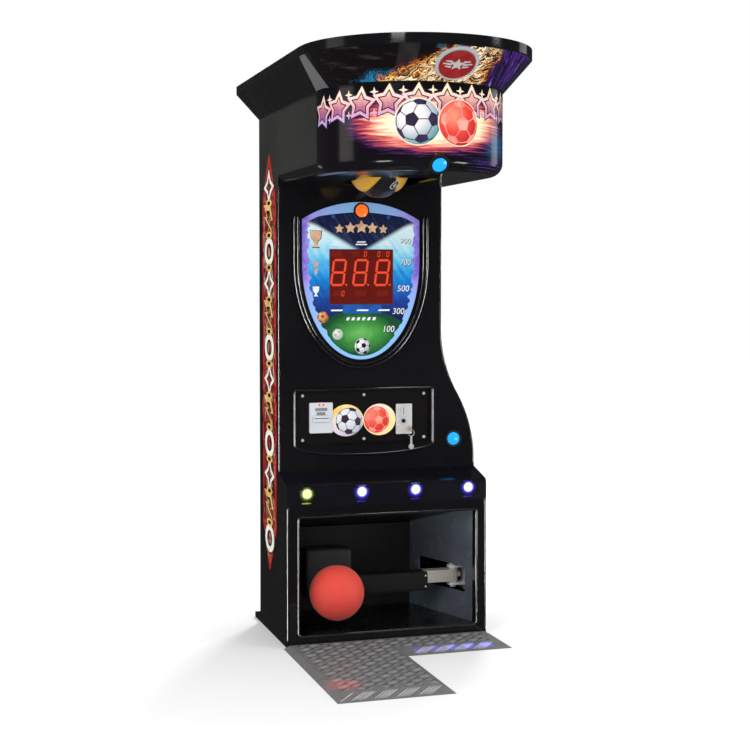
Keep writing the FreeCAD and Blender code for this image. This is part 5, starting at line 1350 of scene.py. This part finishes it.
    @staticmethod
    def field():
        recipe = Recipe("shield_field")
        x, z, _ = recipe.print_place()
        side = (x - TOWER_X).size()
        cloud = recipe.noise(recipe.vector(x, z), 22.0, 5.0, 0.6, 0.8)
        rays = recipe.noise(recipe.vector(x * 14.0 + z * 9.0, z * 1.5), 4.0, 3.0, 0.6)
        height = ((z - 1.28) / 0.4 + (cloud - 0.5) * 0.18 + (rays - 0.5) * 0.22).clamped()
        beam = recipe.tones(
            height, (0.0, (0.008, 0.012, 0.07)), (0.22, (0.01, 0.06, 0.34)), (0.42, (0.006, 0.24, 0.68)),
            (0.6, (0.1, 0.52, 0.82)), (0.78, (0.55, 0.84, 0.92)), (0.95, (0.78, 0.93, 0.97)))
        lit = (side - (z - 1.555) * 1.75).rise(-0.012, 0.03) * (1 - z.rise(1.65, 1.68))
        dark = recipe.over(rays.rise(0.45, 0.75) * 0.5, (0.008, 0.012, 0.055), (0.05, 0.09, 0.18))
        colour = recipe.over(lit, dark, beam)
        across = (x - TOWER_X) / 0.15
        down = (z - 1.225) / 0.085
        reach = (across * across + down * down).to_power(0.5) + (cloud - 0.5) * 0.5
        grass = recipe.tones(reach.clamped(), (0.0, (0.16, 0.5, 0.12)), (0.5, (0.05, 0.28, 0.05)),
                             (1.0, (0.01, 0.075, 0.03)))
        edge = 1.318 - side * side * 1.6
        colour = recipe.over((edge - z).rise(-0.006, 0.006), colour, grass)
        return recipe.finish(colour, cloud * 0.1 + 0.1, cloud, 0.00003, coat=0.8, coat_rough=0.04)


# ---- Score display ----
SEGMENTS = {
    "top": ((-1, 1), (1, 1)), "middle": ((-1, 0), (1, 0)), "foot": ((-1, -1), (1, -1)),
    "left_high": ((-1, 0), (-1, 1)), "right_high": ((1, 0), (1, 1)),
    "left_low": ((-1, -1), (-1, 0)), "right_low": ((1, -1), (1, 0)),
}


def lay_digit(bm, x, z, wide, high, thick, lit):
    """A seven-segment digit that leans to the right; segments in lit take finish 0, the rest finish 1."""
    lean = 0.13
    for name, (start, end) in SEGMENTS.items():
        (x0, z0), (x1, z1) = [(u * wide / 2, v * high / 2) for u, v in (start, end)]
        length = math.hypot(x1 - x0, z1 - z0)
        ax, az = (x1 - x0) / length, (z1 - z0) / length
        gap = thick * 0.12
        ring = []
        for along, across in ((gap, 0), (gap + thick / 2, 0.5), (length - gap - thick / 2, 0.5),
                              (length - gap, 0), (length - gap - thick / 2, -0.5), (gap + thick / 2, -0.5)):
            u = x0 + ax * along - az * across * thick
            v = z0 + az * along + ax * across * thick
            ring.append((x + u + lean * v, z + v))
        lay_film(bm, [ring], shield_place, 1, 0 if name in lit else 1, COARSE)


class PUNCHMACHINE_OT_score_display(bpy.types.Operator):
    """Set the three large digits, their points and the rows of small digits in the red window"""

    bl_idname = "punch_machine.score_display"
    bl_label = "Score display"
    zero = ("top", "foot", "left_high", "right_high", "left_low", "right_low")
    large_x, large_z, large_thick = (-0.168, -0.0765, 0.015), 1.469, 0.0092
    point_aside, point_z, point_radius = 0.032, 1.4195, 0.0042
    small_digit = (0.0095, 0.02, 0.0027)  # width, height and thickness
    # Height of the row, where its digits stand, which of them show a zero
    small_rows = (
        (1.5435, (-0.194, -0.178, -0.162, -0.103, -0.087, -0.056, 0.001, 0.02, 0.039), (5, 6, 8)),
        (1.385, (-0.182, -0.166, -0.15, -0.092, -0.076, -0.06, 0.000, 0.016, 0.032), (2,)),
    )

    def execute(self, context):
        chosen = sizes(context)
        bm = bmesh.new()
        tall = chosen.digit_height
        for x in self.large_x:
            lay_digit(bm, x, self.large_z, tall / 2, tall, self.large_thick, SEGMENTS)
            point = oval(x + self.point_aside, self.point_z, self.point_radius, self.point_radius, 12)
            lay_film(bm, [point], shield_place, 1, 0, COARSE)
        for z, places, shining in self.small_rows:
            for i, x in enumerate(places):
                lay_digit(bm, x, z, *self.small_digit, self.zero if i in shining else ())
        finishes = [
            lit_plastic("digit_lit", (0.25, 0.02, 0.01), tuple(chosen.digit_colour), 0.85),
            lit_plastic("digit_dull", (0.14, 0.008, 0.005), (0.19, 0.009, 0.005), 0.8),
        ]
        made("score_digits", bm, finishes, "cabinet", 20.0)
        return {"FINISHED"}


# ---- Lamps ----
class PUNCHMACHINE_OT_lamps(bpy.types.Operator):
    """Set a domed, lit lens in each of the four ledge lamps, with a painted glow on the ledge round it and a painted
    reflection below it
    """

    bl_idname = "punch_machine.lamps"
    bl_label = "Ledge lamps"
    places = (-0.336, -0.112, 0.112, 0.336)
    # Outer reach of the glow painted round each lamp
    painted_halos = (0.04, 0.045, 0.045, 0.045)
    bezel_rim = 0.006
    reflection_z = 0.5665

    def execute(self, context):
        chosen = sizes(context)
        low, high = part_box("lamp_lenses")
        middle_z = (low.z + high.z) / 2
        radius = (high.z - low.z) / 2
        depth = high.y - low.y
        bm = bmesh.new()
        for i, x in enumerate(self.places):
            profile = [(-depth, 0.0)]
            for k in range(1, 13):
                a = math.pi / 2 * k / 12
                wave = 1 + 0.012 * math.cos(k * math.pi)
                profile.append((-depth + depth * 0.55 * (1 - math.cos(a)), radius * 0.92 * math.sin(a) * wave))
            profile += [(-depth * 0.4, radius), (-0.002, radius), (0.0, radius * 0.9)]
            lathe(bm, profile, (x, high.y, middle_z), 40, min(i, 1))
        finishes = [lit_plastic("first_lamp", (0.75, 0.9, 0.3), tuple(chosen.first_lamp), 2.2),
                    lit_plastic("other_lamps", (0.8, 0.82, 1.0), tuple(chosen.other_lamps), 2.6)]
        bmesh.ops.recalc_face_normals(bm, faces=bm.faces)
        domes = made("lamp_domes", bm, finishes, "cabinet", 50.0)
        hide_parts("lamp_lenses")

        tree = surface_of("ledge_moulding")

        def ledge_place(x, z, lift):
            return Vector((x, front_of(tree, x, z) - lift, z))

        bm = bmesh.new()
        inner = radius + self.bezel_rim
        finishes = []
        # Round each lamp a ring of painted glow, and under it a glowing dash of painted reflection
        for i, (x, outer) in enumerate(zip(self.places, self.painted_halos)):
            lay_film(bm, [oval(x, middle_z, outer, min(outer, middle_z - low.z + 0.024)),
                          oval(x, middle_z, inner, inner)], ledge_place, 1, i, FINER)
            painted_reflection = oval(x - 0.002, self.reflection_z, 0.019, 0.0028, 24)
            lay_film(bm, [painted_reflection], ledge_place, 1, len(self.places) + min(i, 1), FINER)
            finishes.append(self.painted_glow(f"lamp_light_{i}", x, middle_z, inner - 0.004, outer,
                                       (0.06, 0.04, 0.95) if i else (0.2, 0.28, 0.01)))
        # The dashes glow as painted reflections of the lamps
        finishes += [lit_plastic("first_lamp_dash", (0.1, 0.12, 0.02), (0.45, 0.62, 0.05), 0.9),
                     lit_plastic("other_lamp_dash", (0.02, 0.02, 0.12), (0.05, 0.025, 0.6), 0.9)]
        made("lamp_light", bm, finishes, "cabinet", 50.0)
        return {"FINISHED"}

    @staticmethod
    def painted_glow(name, x, z, inner, outer, tone):
        """Gloss black with a painted glow from the lamp beside it, fading outwards."""
        recipe = Recipe(name)
        px, _, pz = recipe.place()
        reach = ((px - x) * (px - x) + (pz - z) * (pz - z)).to_power(0.5)
        cloud = recipe.noise(recipe.vector(px, pz), 60.0, 3.0, 0.6)
        level = (1 - reach.rise(inner, outer)) * (cloud * 0.4 + 0.8)
        colour = recipe.over(cloud * 0.2, (0.0045, 0.0045, 0.0055), (0.012, 0.012, 0.016))
        glow = recipe.over(level.to_power(3.2).clamped(), (0.0, 0.0, 0.0), tone)
        return recipe.finish(
            colour, cloud * 0.1 + 0.08, cloud, 0.00003, coat=0.6, coat_rough=0.05, glow=glow, glow_power=1.0)


# ---- Beads and edges ----
def rounded(corners, radius):
    """The closed outline with each corner turned into an arc."""
    out = []
    for before, here, after in zip(corners[-1:] + corners[:-1], corners, corners[1:] + corners[:1]):
        here = Vector(here)
        one, two = (Vector(before) - here).normalized(), (Vector(after) - here).normalized()
        cut = radius / math.tan(one.angle(two) / 2)
        start, end = here + one * cut, here + two * cut
        for k in range(9):
            t = k / 8
            out.append(tuple(start * (1 - t) ** 2 + here * (2 * t * (1 - t)) + end * t ** 2))
    return out


def bead(bm, path, y, wide, tall, closed=False):
    """A slim bead of oval section, half sunk at depth y, along a path of (x, z); its ends taper off."""
    points = []
    for (x0, z0), (x1, z1) in zip(path, path[1:] + path[:1] if closed else path[1:]):
        length = math.hypot(x1 - x0, z1 - z0)
        count = max(1, math.ceil(length / 0.008))
        points += [Vector((x0 + (x1 - x0) * i / count, z0 + (z1 - z0) * i / count)) for i in range(count)]
    if not closed:
        points.append(Vector(path[-1]))
        start, end = points[0], points[-1]
        points = [start, start.lerp(points[1], 0.15), start.lerp(points[1], 0.5)] + points[1:-1] + [
            end.lerp(points[-2], 0.5), end.lerp(points[-2], 0.15), end]
    rings = []
    for i, point in enumerate(points):
        before = points[i - 1] if i or closed else point
        after = points[(i + 1) % len(points)] if i + 1 < len(points) or closed else point
        run = (after - before).normalized()
        reach = 1.0
        if not closed:
            near = min((point - points[0]).length, (point - points[-1]).length)
            reach = max(0.05, math.sqrt(max(0.0, 1 - max(0.0, 1 - near / wide) ** 2)))
        ring = []
        for k in range(12):
            a = 2 * math.pi * k / 12
            aside, out = math.cos(a) * wide * reach, math.sin(a) * tall * reach
            ring.append(bm.verts.new((point.x + run.y * aside, y - out, point.y - run.x * aside)))
        rings.append(ring)
    for one, two in zip(rings, rings[1:] + rings[:1] if closed else rings[1:]):
        for k in range(12):
            j = (k + 1) % 12
            bm.faces.new([one[k], one[j], two[j], two[k]])
    if not closed:
        bm.faces.new(rings[0][::-1])
        bm.faces.new(rings[-1])


class PUNCHMACHINE_OT_beads(bpy.types.Operator):
    """Round off the raised lines of the mouldings and the cabinet's front edges with polished beads"""

    bl_idname = "punch_machine.beads"
    bl_label = "Beads and edges"
    opening = (0.3705, 0.0435, 0.5135)  # half width, floor and top of the kick opening
    side_y, fascia_edge_y = -0.2874, -0.1476
    # Half width and height of the beads
    shield_line, opening_line, coin_line = (0.0042, 0.003), (0.0036, 0.0022), (0.0036, 0.002)
    side_edge, fascia_edge = (0.0038, 0.0036), (0.0034, 0.0034)
    sunk = 0.042  # drop of the coin surround's bowed foot
    hood_meets_z = 1.812
    inset = 0.0024  # of a bead from the edge that it rounds off
    feel_y, feel_depth = -0.5, 0.4

    def execute(self, context):
        bm = bmesh.new()
        fascia_low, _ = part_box("fascia_panel")
        frame_low, frame_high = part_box("front_frame")
        for offset in (0.0165, 0.031):
            outline = shield_outline(-offset)
            sides = [(x, SHIELD_CORNER_Z + 0.012) for x in (outline[25][0], outline[65][0])]
            bead(bm, [sides[0]] + outline[25:] + [sides[1]], fascia_low.y, *self.shield_line)
        half, floor, top = self.opening
        ring = rounded([(-half, floor), (half, floor), (half, top), (-half, top)], 0.014)
        bead(bm, ring, frame_low.y, *self.opening_line, True)
        low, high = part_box("coin_surround")
        left, right, top, foot = low.x + 0.008, high.x - 0.008, high.z - 0.006, low.z + 0.006
        shoulder = foot + self.sunk
        middle, half = (left + right) / 2, (right - left) / 2
        bow = [(middle + half * math.cos(a), shoulder - self.sunk * math.sin(a))
               for a in (math.pi * k / 24 for k in range(25))]
        corners = rounded([(right, shoulder), (left, shoulder), (left, top), (right, top)], 0.014)
        bead(bm, bow + corners[18:], low.y, *self.coin_line, True)
        for side in (-1, 1):
            x = side * (frame_high.x - 0.0026)
            bead(bm, [(x, frame_low.z + 0.004), (x, frame_high.z - 0.002)], self.side_y, *self.side_edge)
        left_edge = fascia_low.x + self.inset
        bead(bm, [(left_edge, fascia_low.z + 0.004), (left_edge, self.hood_meets_z)],
             self.fascia_edge_y, *self.fascia_edge)
        bead(bm, self.wave(fascia_low.z + 0.01, self.hood_meets_z - 0.006), self.fascia_edge_y, *self.fascia_edge)
        polish = gloss_black("polished_bead", rough=0.2, spread=0.04, peel=0.000006, shine=0.5, hard=2.6)
        beads = made("edge_beads", bm, [polish], "cabinet", 60.0)
        bpy.data.collections[LINED].objects.link(beads)
        return {"FINISHED"}

    def wave(self, low, high):
        """The fascia's right edge, which swings out above the ledge, as (x, z) places on it."""
        tree = surface_of("fascia_panel")
        step, halvings, places = 0.01, 9, 120

        def bare(x, z):
            return tree.ray_cast(Vector((x, self.feel_y, z)), BACKWARD, self.feel_depth)[0] is None

        out = []
        for k in range(places + 1):
            z = low + (high - low) * k / places
            beyond = 0.6
            while bare(beyond - step, z):
                beyond -= step
            within = beyond - step
            for _ in range(halvings):
                x = (within + beyond) / 2
                if bare(x, z):
                    beyond = x
                else:
                    within = x
            out.append((within - self.inset, z))
        return out


# ---- Coin panel ----
class PUNCHMACHINE_OT_coin_print(bpy.types.Operator):
    """Print the two balls between note reader and coin plate, and fit the reader's lamps and bars"""

    bl_idname = "punch_machine.coin_print"
    bl_label = "Coin panel print"
    # Middle, half width and half height of the two flares; middle and radius of the shading of the two balls
    left, right = (-0.134, 0.8735, 0.072, 0.064), (0.006, 0.8735, 0.069, 0.064)
    white_ball, red_ball = (-0.122, 0.8695, 0.064), (-0.006, 0.8735, 0.064)
    left_flare, right_flare, white_skin, patch, red_skin, seam = range(6)
    bar_pitch = 0.004
    lamp_z = 0.939

    def execute(self, context):
        reader_low, reader_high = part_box("bill_validator")
        plate_low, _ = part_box("coin_acceptor")
        start, end = reader_high.x + 0.0008, plate_low.x - 0.0008
        bm = bmesh.new()
        for flare, finish in ((self.left, self.left_flare), (self.right, self.right_flare)):
            ring = [(min(max(u, start), end), v) for u, v in oval(*flare, 56)]
            lay_film(bm, [ring], coin_place, 1, finish, FINE)
        for (x, z, _), radius, skin, marks, turn in (
                (self.white_ball, 0.057, self.white_skin, self.patch, (0.3, -0.3, 0.2)),
                (self.red_ball, 0.054, self.red_skin, self.seam, (-0.5, 0.2, 0.1))):
            lay_ball(bm, coin_place, x, z, radius, 2, skin, marks, turn, (start, end))
        finishes = [
            shaded_ink("left_flare", 0.81, 0.94, (0.0, (0.72, 0.6, 0.75)), (0.45, (0.95, 0.84, 0.7)),
                       (0.8, (1.0, 0.62, 0.1)), (1.0, (1.0, 0.8, 0.35))),
            shaded_ink("right_flare", 0.81, 0.94, (0.0, (0.95, 0.72, 0.4)), (0.5, (1.0, 0.8, 0.36)),
                       (1.0, (0.9, 0.75, 0.7))),
            ball_ink("coin_white_ball", self.white_ball, (0.0, (0.92, 0.92, 0.94)), (1.0, (0.4, 0.46, 0.52))),
            ink("coin_ball_patch", (0.03, 0.02, 0.05), (0.1, 0.03, 0.06)),
            ball_ink("coin_red_ball", self.red_ball, (0.0, (0.92, 0.22, 0.15)), (0.6, (0.78, 0.05, 0.035)),
                     (1.0, (0.5, 0.02, 0.02))),
            ink("coin_ball_line", (0.93, 0.36, 0.28), (0.85, 0.2, 0.14)),
        ]
        made("coin_print", bm, finishes, "cabinet", 20.0)

        tree = surface_of("bill_validator")

        def reader_place(x, z, lift):
            return Vector((x, front_of(tree, x, z) - lift, z))

        middle = (reader_low.x + reader_high.x) / 2
        bars = [(-0.025, 0.025, 0.914, 0.927, 0)]
        bars += [(-0.019, 0.017, z, z + 0.0026, 1) for z in (0.8985, 0.9027, 0.9069)]
        bm = bmesh.new()
        for x0, x1, low, high, finish in bars:
            bar = rectangle(middle + x0, middle + x1, low, high)
            lay_film(bm, [bar], reader_place, 1, finish, self.bar_pitch)
        made("reader_bars", bm, [ink("reader_grey", (0.24, 0.26, 0.28)), ink("reader_dark", (0.03, 0.03, 0.035))],
             "cabinet", 30.0)
        bm = bmesh.new()
        for x in (middle - 0.007, middle + 0.01):
            y = front_of(tree, x, self.lamp_z)
            profile = [(-0.0024, 0.0), (-0.0021, 0.0018), (-0.0013, 0.0034), (0.0, 0.0042), (0.0008, 0.0042)]
            lathe(bm, profile, (x, y, self.lamp_z), 24)
        bmesh.ops.recalc_face_normals(bm, faces=bm.faces)
        made("reader_lamps", bm, [lit_plastic("reader_lamp", (0.6, 0.03, 0.02), (0.9, 0.03, 0.015), 0.9)],
             "cabinet", 60.0)
        return {"FINISHED"}


# ---- Kick ball, sleeve and stop block ----
def round_box(bm, low, high, radius, puff):
    """A padded box: rounded edges, faces that swell by puff between them, inside low to high."""
    low = Vector(low) + Vector((puff,) * 3)
    high = Vector(high) - Vector((puff,) * 3)

    def stops(a, b):
        """Places of the grid lines from a to b, closer together on the rounding."""
        ends, pitch = (0.0, 0.13, 0.3, 0.5, 0.72, 1.0), 0.01
        flat = b - a - 2 * radius
        count = max(3, round(flat / pitch))
        body = [a + radius + flat * i / count for i in range(1, count)]
        return [a + radius * e for e in ends] + body + [b - radius * e for e in reversed(ends)]

    def swelling(c, a, b):
        """Share of the puff at c between a and b: none at the ends, full in the middle."""
        return math.sin(math.pi * (c - a) / (b - a)) ** 0.35 if a < c < b else 0

    grid = [stops(low[i], high[i]) for i in range(3)]
    found = {}

    def corner(point):
        key = tuple(round(c, 7) for c in point)
        if key not in found:
            core = Vector([min(max(c, low[i] + radius), high[i] - radius) for i, c in enumerate(point)])
            out = (Vector(point) - core).normalized()
            share = 1.0
            for i, c in enumerate(point):
                if abs(out[i]) < 0.5:
                    share *= swelling(c, low[i], high[i])
            found[key] = bm.verts.new(core + out * (radius + puff * share))
        return found[key]

    for axis in range(3):
        one, two = (axis + 1) % 3, (axis + 2) % 3
        for side in (low[axis], high[axis]):
            for i in range(len(grid[one]) - 1):
                for j in range(len(grid[two]) - 1):
                    corners = []
                    for a, b in ((i, j), (i + 1, j), (i + 1, j + 1), (i, j + 1)):
                        point = [0.0] * 3
                        point[axis], point[one], point[two] = side, grid[one][a], grid[two][b]
                        corners.append(corner(point))
                    if side == low[axis]:
                        corners.reverse()
                    if len(set(corners)) > 2:
                        bm.faces.new(list(dict.fromkeys(corners)))


class PUNCHMACHINE_OT_kick_ball(bpy.types.Operator):
    """Shape the soft kick ball, the padded sleeve of its arm and the rubber block behind it"""

    bl_idname = "punch_machine.kick_ball"
    bl_label = "Kick ball and pads"

    valve = Vector((0.55, -0.62, 0.56)).normalized()
    thread, rivet = 1, 2  # the sleeve's cloth comes before them
    stitch_pitch = 0.008
    rivet_profile = ((-0.0022, 0.0), (-0.002, 0.0022), (-0.001, 0.004), (0.0015, 0.0046))

    def execute(self, context):
        self.shape_ball(tuple(sizes(context).ball_colour))
        self.shape_sleeve()
        self.shape_block()
        return {"FINISHED"}

    def shape_ball(self, tone):
        """A soft ball, moulded in two halves: a fine seam, a valve in a low collar, an uneven skin."""
        low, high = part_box("kick_ball")
        radius = (high.x - low.x) / 2
        centre = Vector(((low.x + high.x) / 2, low.y + radius, (low.z + high.z) / 2))
        bm = bmesh.new()
        bmesh.ops.create_icosphere(bm, subdivisions=6, radius=1.0)
        for vert in bm.verts:
            out = vert.co.normalized()
            near = out.angle(self.valve)
            seam = math.exp(-(out.z / 0.01) ** 2) * 0.0006
            dimple = 0.003 * math.exp(-(near / 0.028) ** 2)
            collar = -0.0005 * math.exp(-((near - 0.062) / 0.014) ** 2)
            soft = 0.0008 * (math.sin(5 * out.x + 2 * out.z) * math.cos(4 * out.y) + 1)
            vert.co = centre + out * (radius - 0.0006 - seam - dimple - collar - soft)
            vert.co.y = min(vert.co.y, high.y)
        ball = made("kick_ball_skin", bm, [ball_rubber("ball_rubber", tone)], "kick_arm", 60.0)
        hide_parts("kick_ball")

    def shape_sleeve(self):
        """The padded sleeve, stitched along both edges, with a rivet at each corner."""
        low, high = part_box("kick_sleeve")
        bm = bmesh.new()
        round_box(bm, low, high, 0.01, 0.003)
        stitches = round((high.x - low.x - 0.04) / self.stitch_pitch)
        for z in (low.z + 0.01, high.z - 0.01):
            for i in range(stitches):
                place = Vector((low.x + 0.02 + i * self.stitch_pitch, low.y + 0.0028, z))
                ridge(bm, place, Vector((1, 0, 0)), -BACKWARD, 0.0055, 0.0014, 0.0008, self.thread)
        for x in (low.x + 0.012, high.x - 0.012):
            for z in (high.z - 0.02, low.z + 0.02):
                start = len(bm.faces)
                lathe(bm, self.rivet_profile, (x, low.y + 0.0024, z), 20, self.rivet)
                bm.faces.ensure_lookup_table()
                bmesh.ops.recalc_face_normals(bm, faces=bm.faces[start:])
        finishes = [rubber("sleeve_cloth", (0.01, 0.0095, 0.009), 0.55, 0.00018),
                    rubber("sleeve_thread", (0.045, 0.043, 0.04), 0.7), bright_metal("rivet", (0.7, 0.7, 0.7))]
        sleeve = made("kick_sleeve_cover", bm, finishes, "kick_arm", 50.0)
        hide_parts("kick_sleeve")

    @staticmethod
    def shape_block():
        """The block that stops the arm: a rubber pad, cut flat at the back where it meets the wall."""
        low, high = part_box("stop_block")
        bm = bmesh.new()
        round_box(bm, low, (high.x, high.y + 0.002, high.z), 0.016, 0.0025)
        for vert in bm.verts:
            vert.co.y = min(vert.co.y, high.y)
        block = made("stop_block_pad", bm, [rubber("block_rubber", (0.052, 0.052, 0.054), 0.45, 0.00015)], "cabinet",
                     50.0)
        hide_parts("stop_block")


# ---- Punch bag ----
BAG_PROFILE = ((-0.562, 0.036), (-0.52, 0.058), (-0.452, 0.103), (-0.38, 0.121), (-0.294, 0.085), (-0.261, 0.0))


def bag_curve(steps):
    """The bag's outline from neck to round end, as (y, radius) pairs on a smooth curve."""
    knots = [Vector(p) for p in BAG_PROFILE]
    out = []
    for i in range(len(knots) - 1):
        before = knots[i - 1] if i else knots[0] * 2 - knots[1]
        after = knots[i + 2] if i + 2 < len(knots) else Vector((knots[-1].x, -knots[-2].y))
        for k in range(steps):
            t = k / steps
            p = 0.5 * ((2 * knots[i]) + (knots[i + 1] - before) * t
                       + (2 * before - 5 * knots[i] + 4 * knots[i + 1] - after) * t ** 2
                       + (3 * knots[i] - before - 3 * knots[i + 1] + after) * t ** 3)
            out.append((p.x, max(p.y, 0.0)))
    return out + [BAG_PROFILE[-1]]


class PUNCHMACHINE_OT_bag(bpy.types.Operator):
    """Sew the punch bag from six leather gores, black and yellow, with welted and stitched seams"""

    bl_idname = "punch_machine.bag"
    bl_label = "Punch bag"
    gores = 6
    first_seam = math.radians(-30)
    round_steps, long_steps = 120, 60
    black, yellow, thread, silver, badge = range(5)
    badge_turn, badge_share = math.radians(24.5), 0.32
    stitches = 62

    def skin(self, y_share, turn, lift=0.0):
        """A point on the bag: y_share along its outline, turn round its axis from below."""
        y, radius = self.outline(y_share)
        phase = (turn - self.first_seam) / (2 * math.pi / self.gores)
        to_seam = abs(phase - round(phase)) * (2 * math.pi / self.gores)
        crown = min(1.0, to_seam / 0.3)
        groove = 0.045 * (1 - crown) ** 2 * min(1.0, radius / 0.04)
        reach = radius * (0.985 - groove + 0.01 * math.sin(math.pi * crown / 2)) + lift
        return Vector((TOWER_X + reach * math.sin(turn), y, BAG_AXIS_Z - reach * math.cos(turn)))

    def outline(self, share):
        place = share * (len(self.curve) - 1)
        i = min(int(place), len(self.curve) - 2)
        t = place - i
        (y0, r0), (y1, r1) = self.curve[i], self.curve[i + 1]
        return y0 + (y1 - y0) * t, r0 + (r1 - r0) * t

    def sew(self, bm):
        """The gores' leather, black and yellow by turns, closed at the neck and the round end."""
        rings = []
        for j in range(self.long_steps):
            share = j / self.long_steps
            rings.append([bm.verts.new(self.skin(share, self.first_seam + 2 * math.pi * i / self.round_steps))
                          for i in range(self.round_steps)])
        tip = bm.verts.new(Vector((TOWER_X, BAG_PROFILE[-1][0], BAG_AXIS_Z)))
        neck = bm.verts.new(Vector((TOWER_X, BAG_PROFILE[0][0], BAG_AXIS_Z)))
        per_gore = self.round_steps // self.gores
        for j, ring in enumerate(rings):
            for i in range(self.round_steps):
                k = (i + 1) % self.round_steps
                beyond = [rings[j + 1][k], rings[j + 1][i]] if j + 1 < self.long_steps else [tip]
                leather_index = (self.black, self.yellow)[(i // per_gore) % 2]
                bm.faces.new([ring[i], ring[k], *beyond]).material_index = leather_index
        for i in range(self.round_steps):
            bm.faces.new([rings[0][(i + 1) % self.round_steps], rings[0][i], neck])
        bmesh.ops.recalc_face_normals(bm, faces=bm.faces)

    def stitch(self, bm, seam, side):
        """A row of stitches along one side of a seam."""
        for k in range(self.stitches):
            share = 0.04 + 0.9 * k / (self.stitches - 1)
            _, radius = self.outline(share)
            if radius < 0.02:
                continue
            turn = seam + side / max(radius, 0.05)
            here, there = self.skin(share, turn), self.skin(share + 0.01, turn)
            along = (there - here).normalized()
            round_way = (self.skin(share, turn + 0.02) - here).normalized()
            normal = along.cross(round_way).normalized()
            if normal.dot(here - Vector((TOWER_X, here.y, BAG_AXIS_Z))) < 0:
                normal = -normal
            ridge(bm, here, along, normal, 0.0036, 0.0012, 0.0006, self.thread)

    def execute(self, context):
        chosen = sizes(context)
        self.curve = bag_curve(9)
        bm = bmesh.new()
        self.sew(bm)
        for gore in range(self.gores):
            for side in (-0.0055, 0.0055):
                self.stitch(bm, self.first_seam + 2 * math.pi * gore / self.gores, side)
        for layer, wide, high, finish in ((4, 0.25, 0.048, self.silver), (6, 0.2, 0.036, self.badge),
                                          (8, 0.11, 0.02, self.silver)):
            ring = oval(self.badge_turn, self.badge_share, wide, high)
            lay_film(bm, [ring], lambda turn, share, lift: self.skin(share, turn, lift), layer, finish, MEDIUM)
        finishes = [
            leather("black_leather", (0.012, 0.011, 0.011)),
            leather("yellow_leather", tuple(chosen.bag_colour), 0.3),
            leather("bag_thread", (0.1, 0.09, 0.07), 0.6),
            ink("bag_badge_silver", (0.52, 0.54, 0.56), (0.34, 0.36, 0.4)),
            ink("bag_badge_dark", (0.03, 0.035, 0.045)),
        ]
        bag = made("punch_bag_leather", bm, finishes, "punch_bag", 40.0)
        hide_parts("punch_bag")
        return {"FINISHED"}


# ---- Panel and run ----
OPERATORS = (
    PUNCHMACHINE_OT_stage, PUNCHMACHINE_OT_cabinet_finishes, PUNCHMACHINE_OT_tread_bars,
    PUNCHMACHINE_OT_side_print, PUNCHMACHINE_OT_hood_print, PUNCHMACHINE_OT_visor_print,
    PUNCHMACHINE_OT_shield_print, PUNCHMACHINE_OT_score_display, PUNCHMACHINE_OT_lamps, PUNCHMACHINE_OT_beads,
    PUNCHMACHINE_OT_coin_print, PUNCHMACHINE_OT_kick_ball, PUNCHMACHINE_OT_bag,
)


class PUNCHMACHINE_PT_panel(bpy.types.Panel):
    """Lists the machine's sizes, colours and making steps"""

    bl_label = "Punch machine"
    bl_idname = "PUNCHMACHINE_PT_panel"
    bl_space_type = "VIEW_3D"
    bl_region_type = "UI"
    bl_category = "Punch machine"

    def draw(self, context):
        chosen = sizes(context)
        for name in PunchMachineSizes.__annotations__:
            self.layout.prop(chosen, name)
        for operator in OPERATORS:
            self.layout.operator(operator.bl_idname)


CLASSES = (PunchMachineSizes, *OPERATORS, PUNCHMACHINE_PT_panel)


def register():
    for kind in CLASSES:
        bpy.utils.register_class(kind)
    bpy.types.Scene.punch_machine = bpy.props.PointerProperty(type=PunchMachineSizes)


def unregister():
    del bpy.types.Scene.punch_machine
    for kind in reversed(CLASSES):
        bpy.utils.unregister_class(kind)


def main():
    register()
    for operator in OPERATORS:
        group, name = operator.bl_idname.split(".")
        if getattr(getattr(bpy.ops, group), name)() != {"FINISHED"}:
            raise RuntimeError(f"{operator.bl_label} did not finish")


if __name__ == "__main__":
    main()
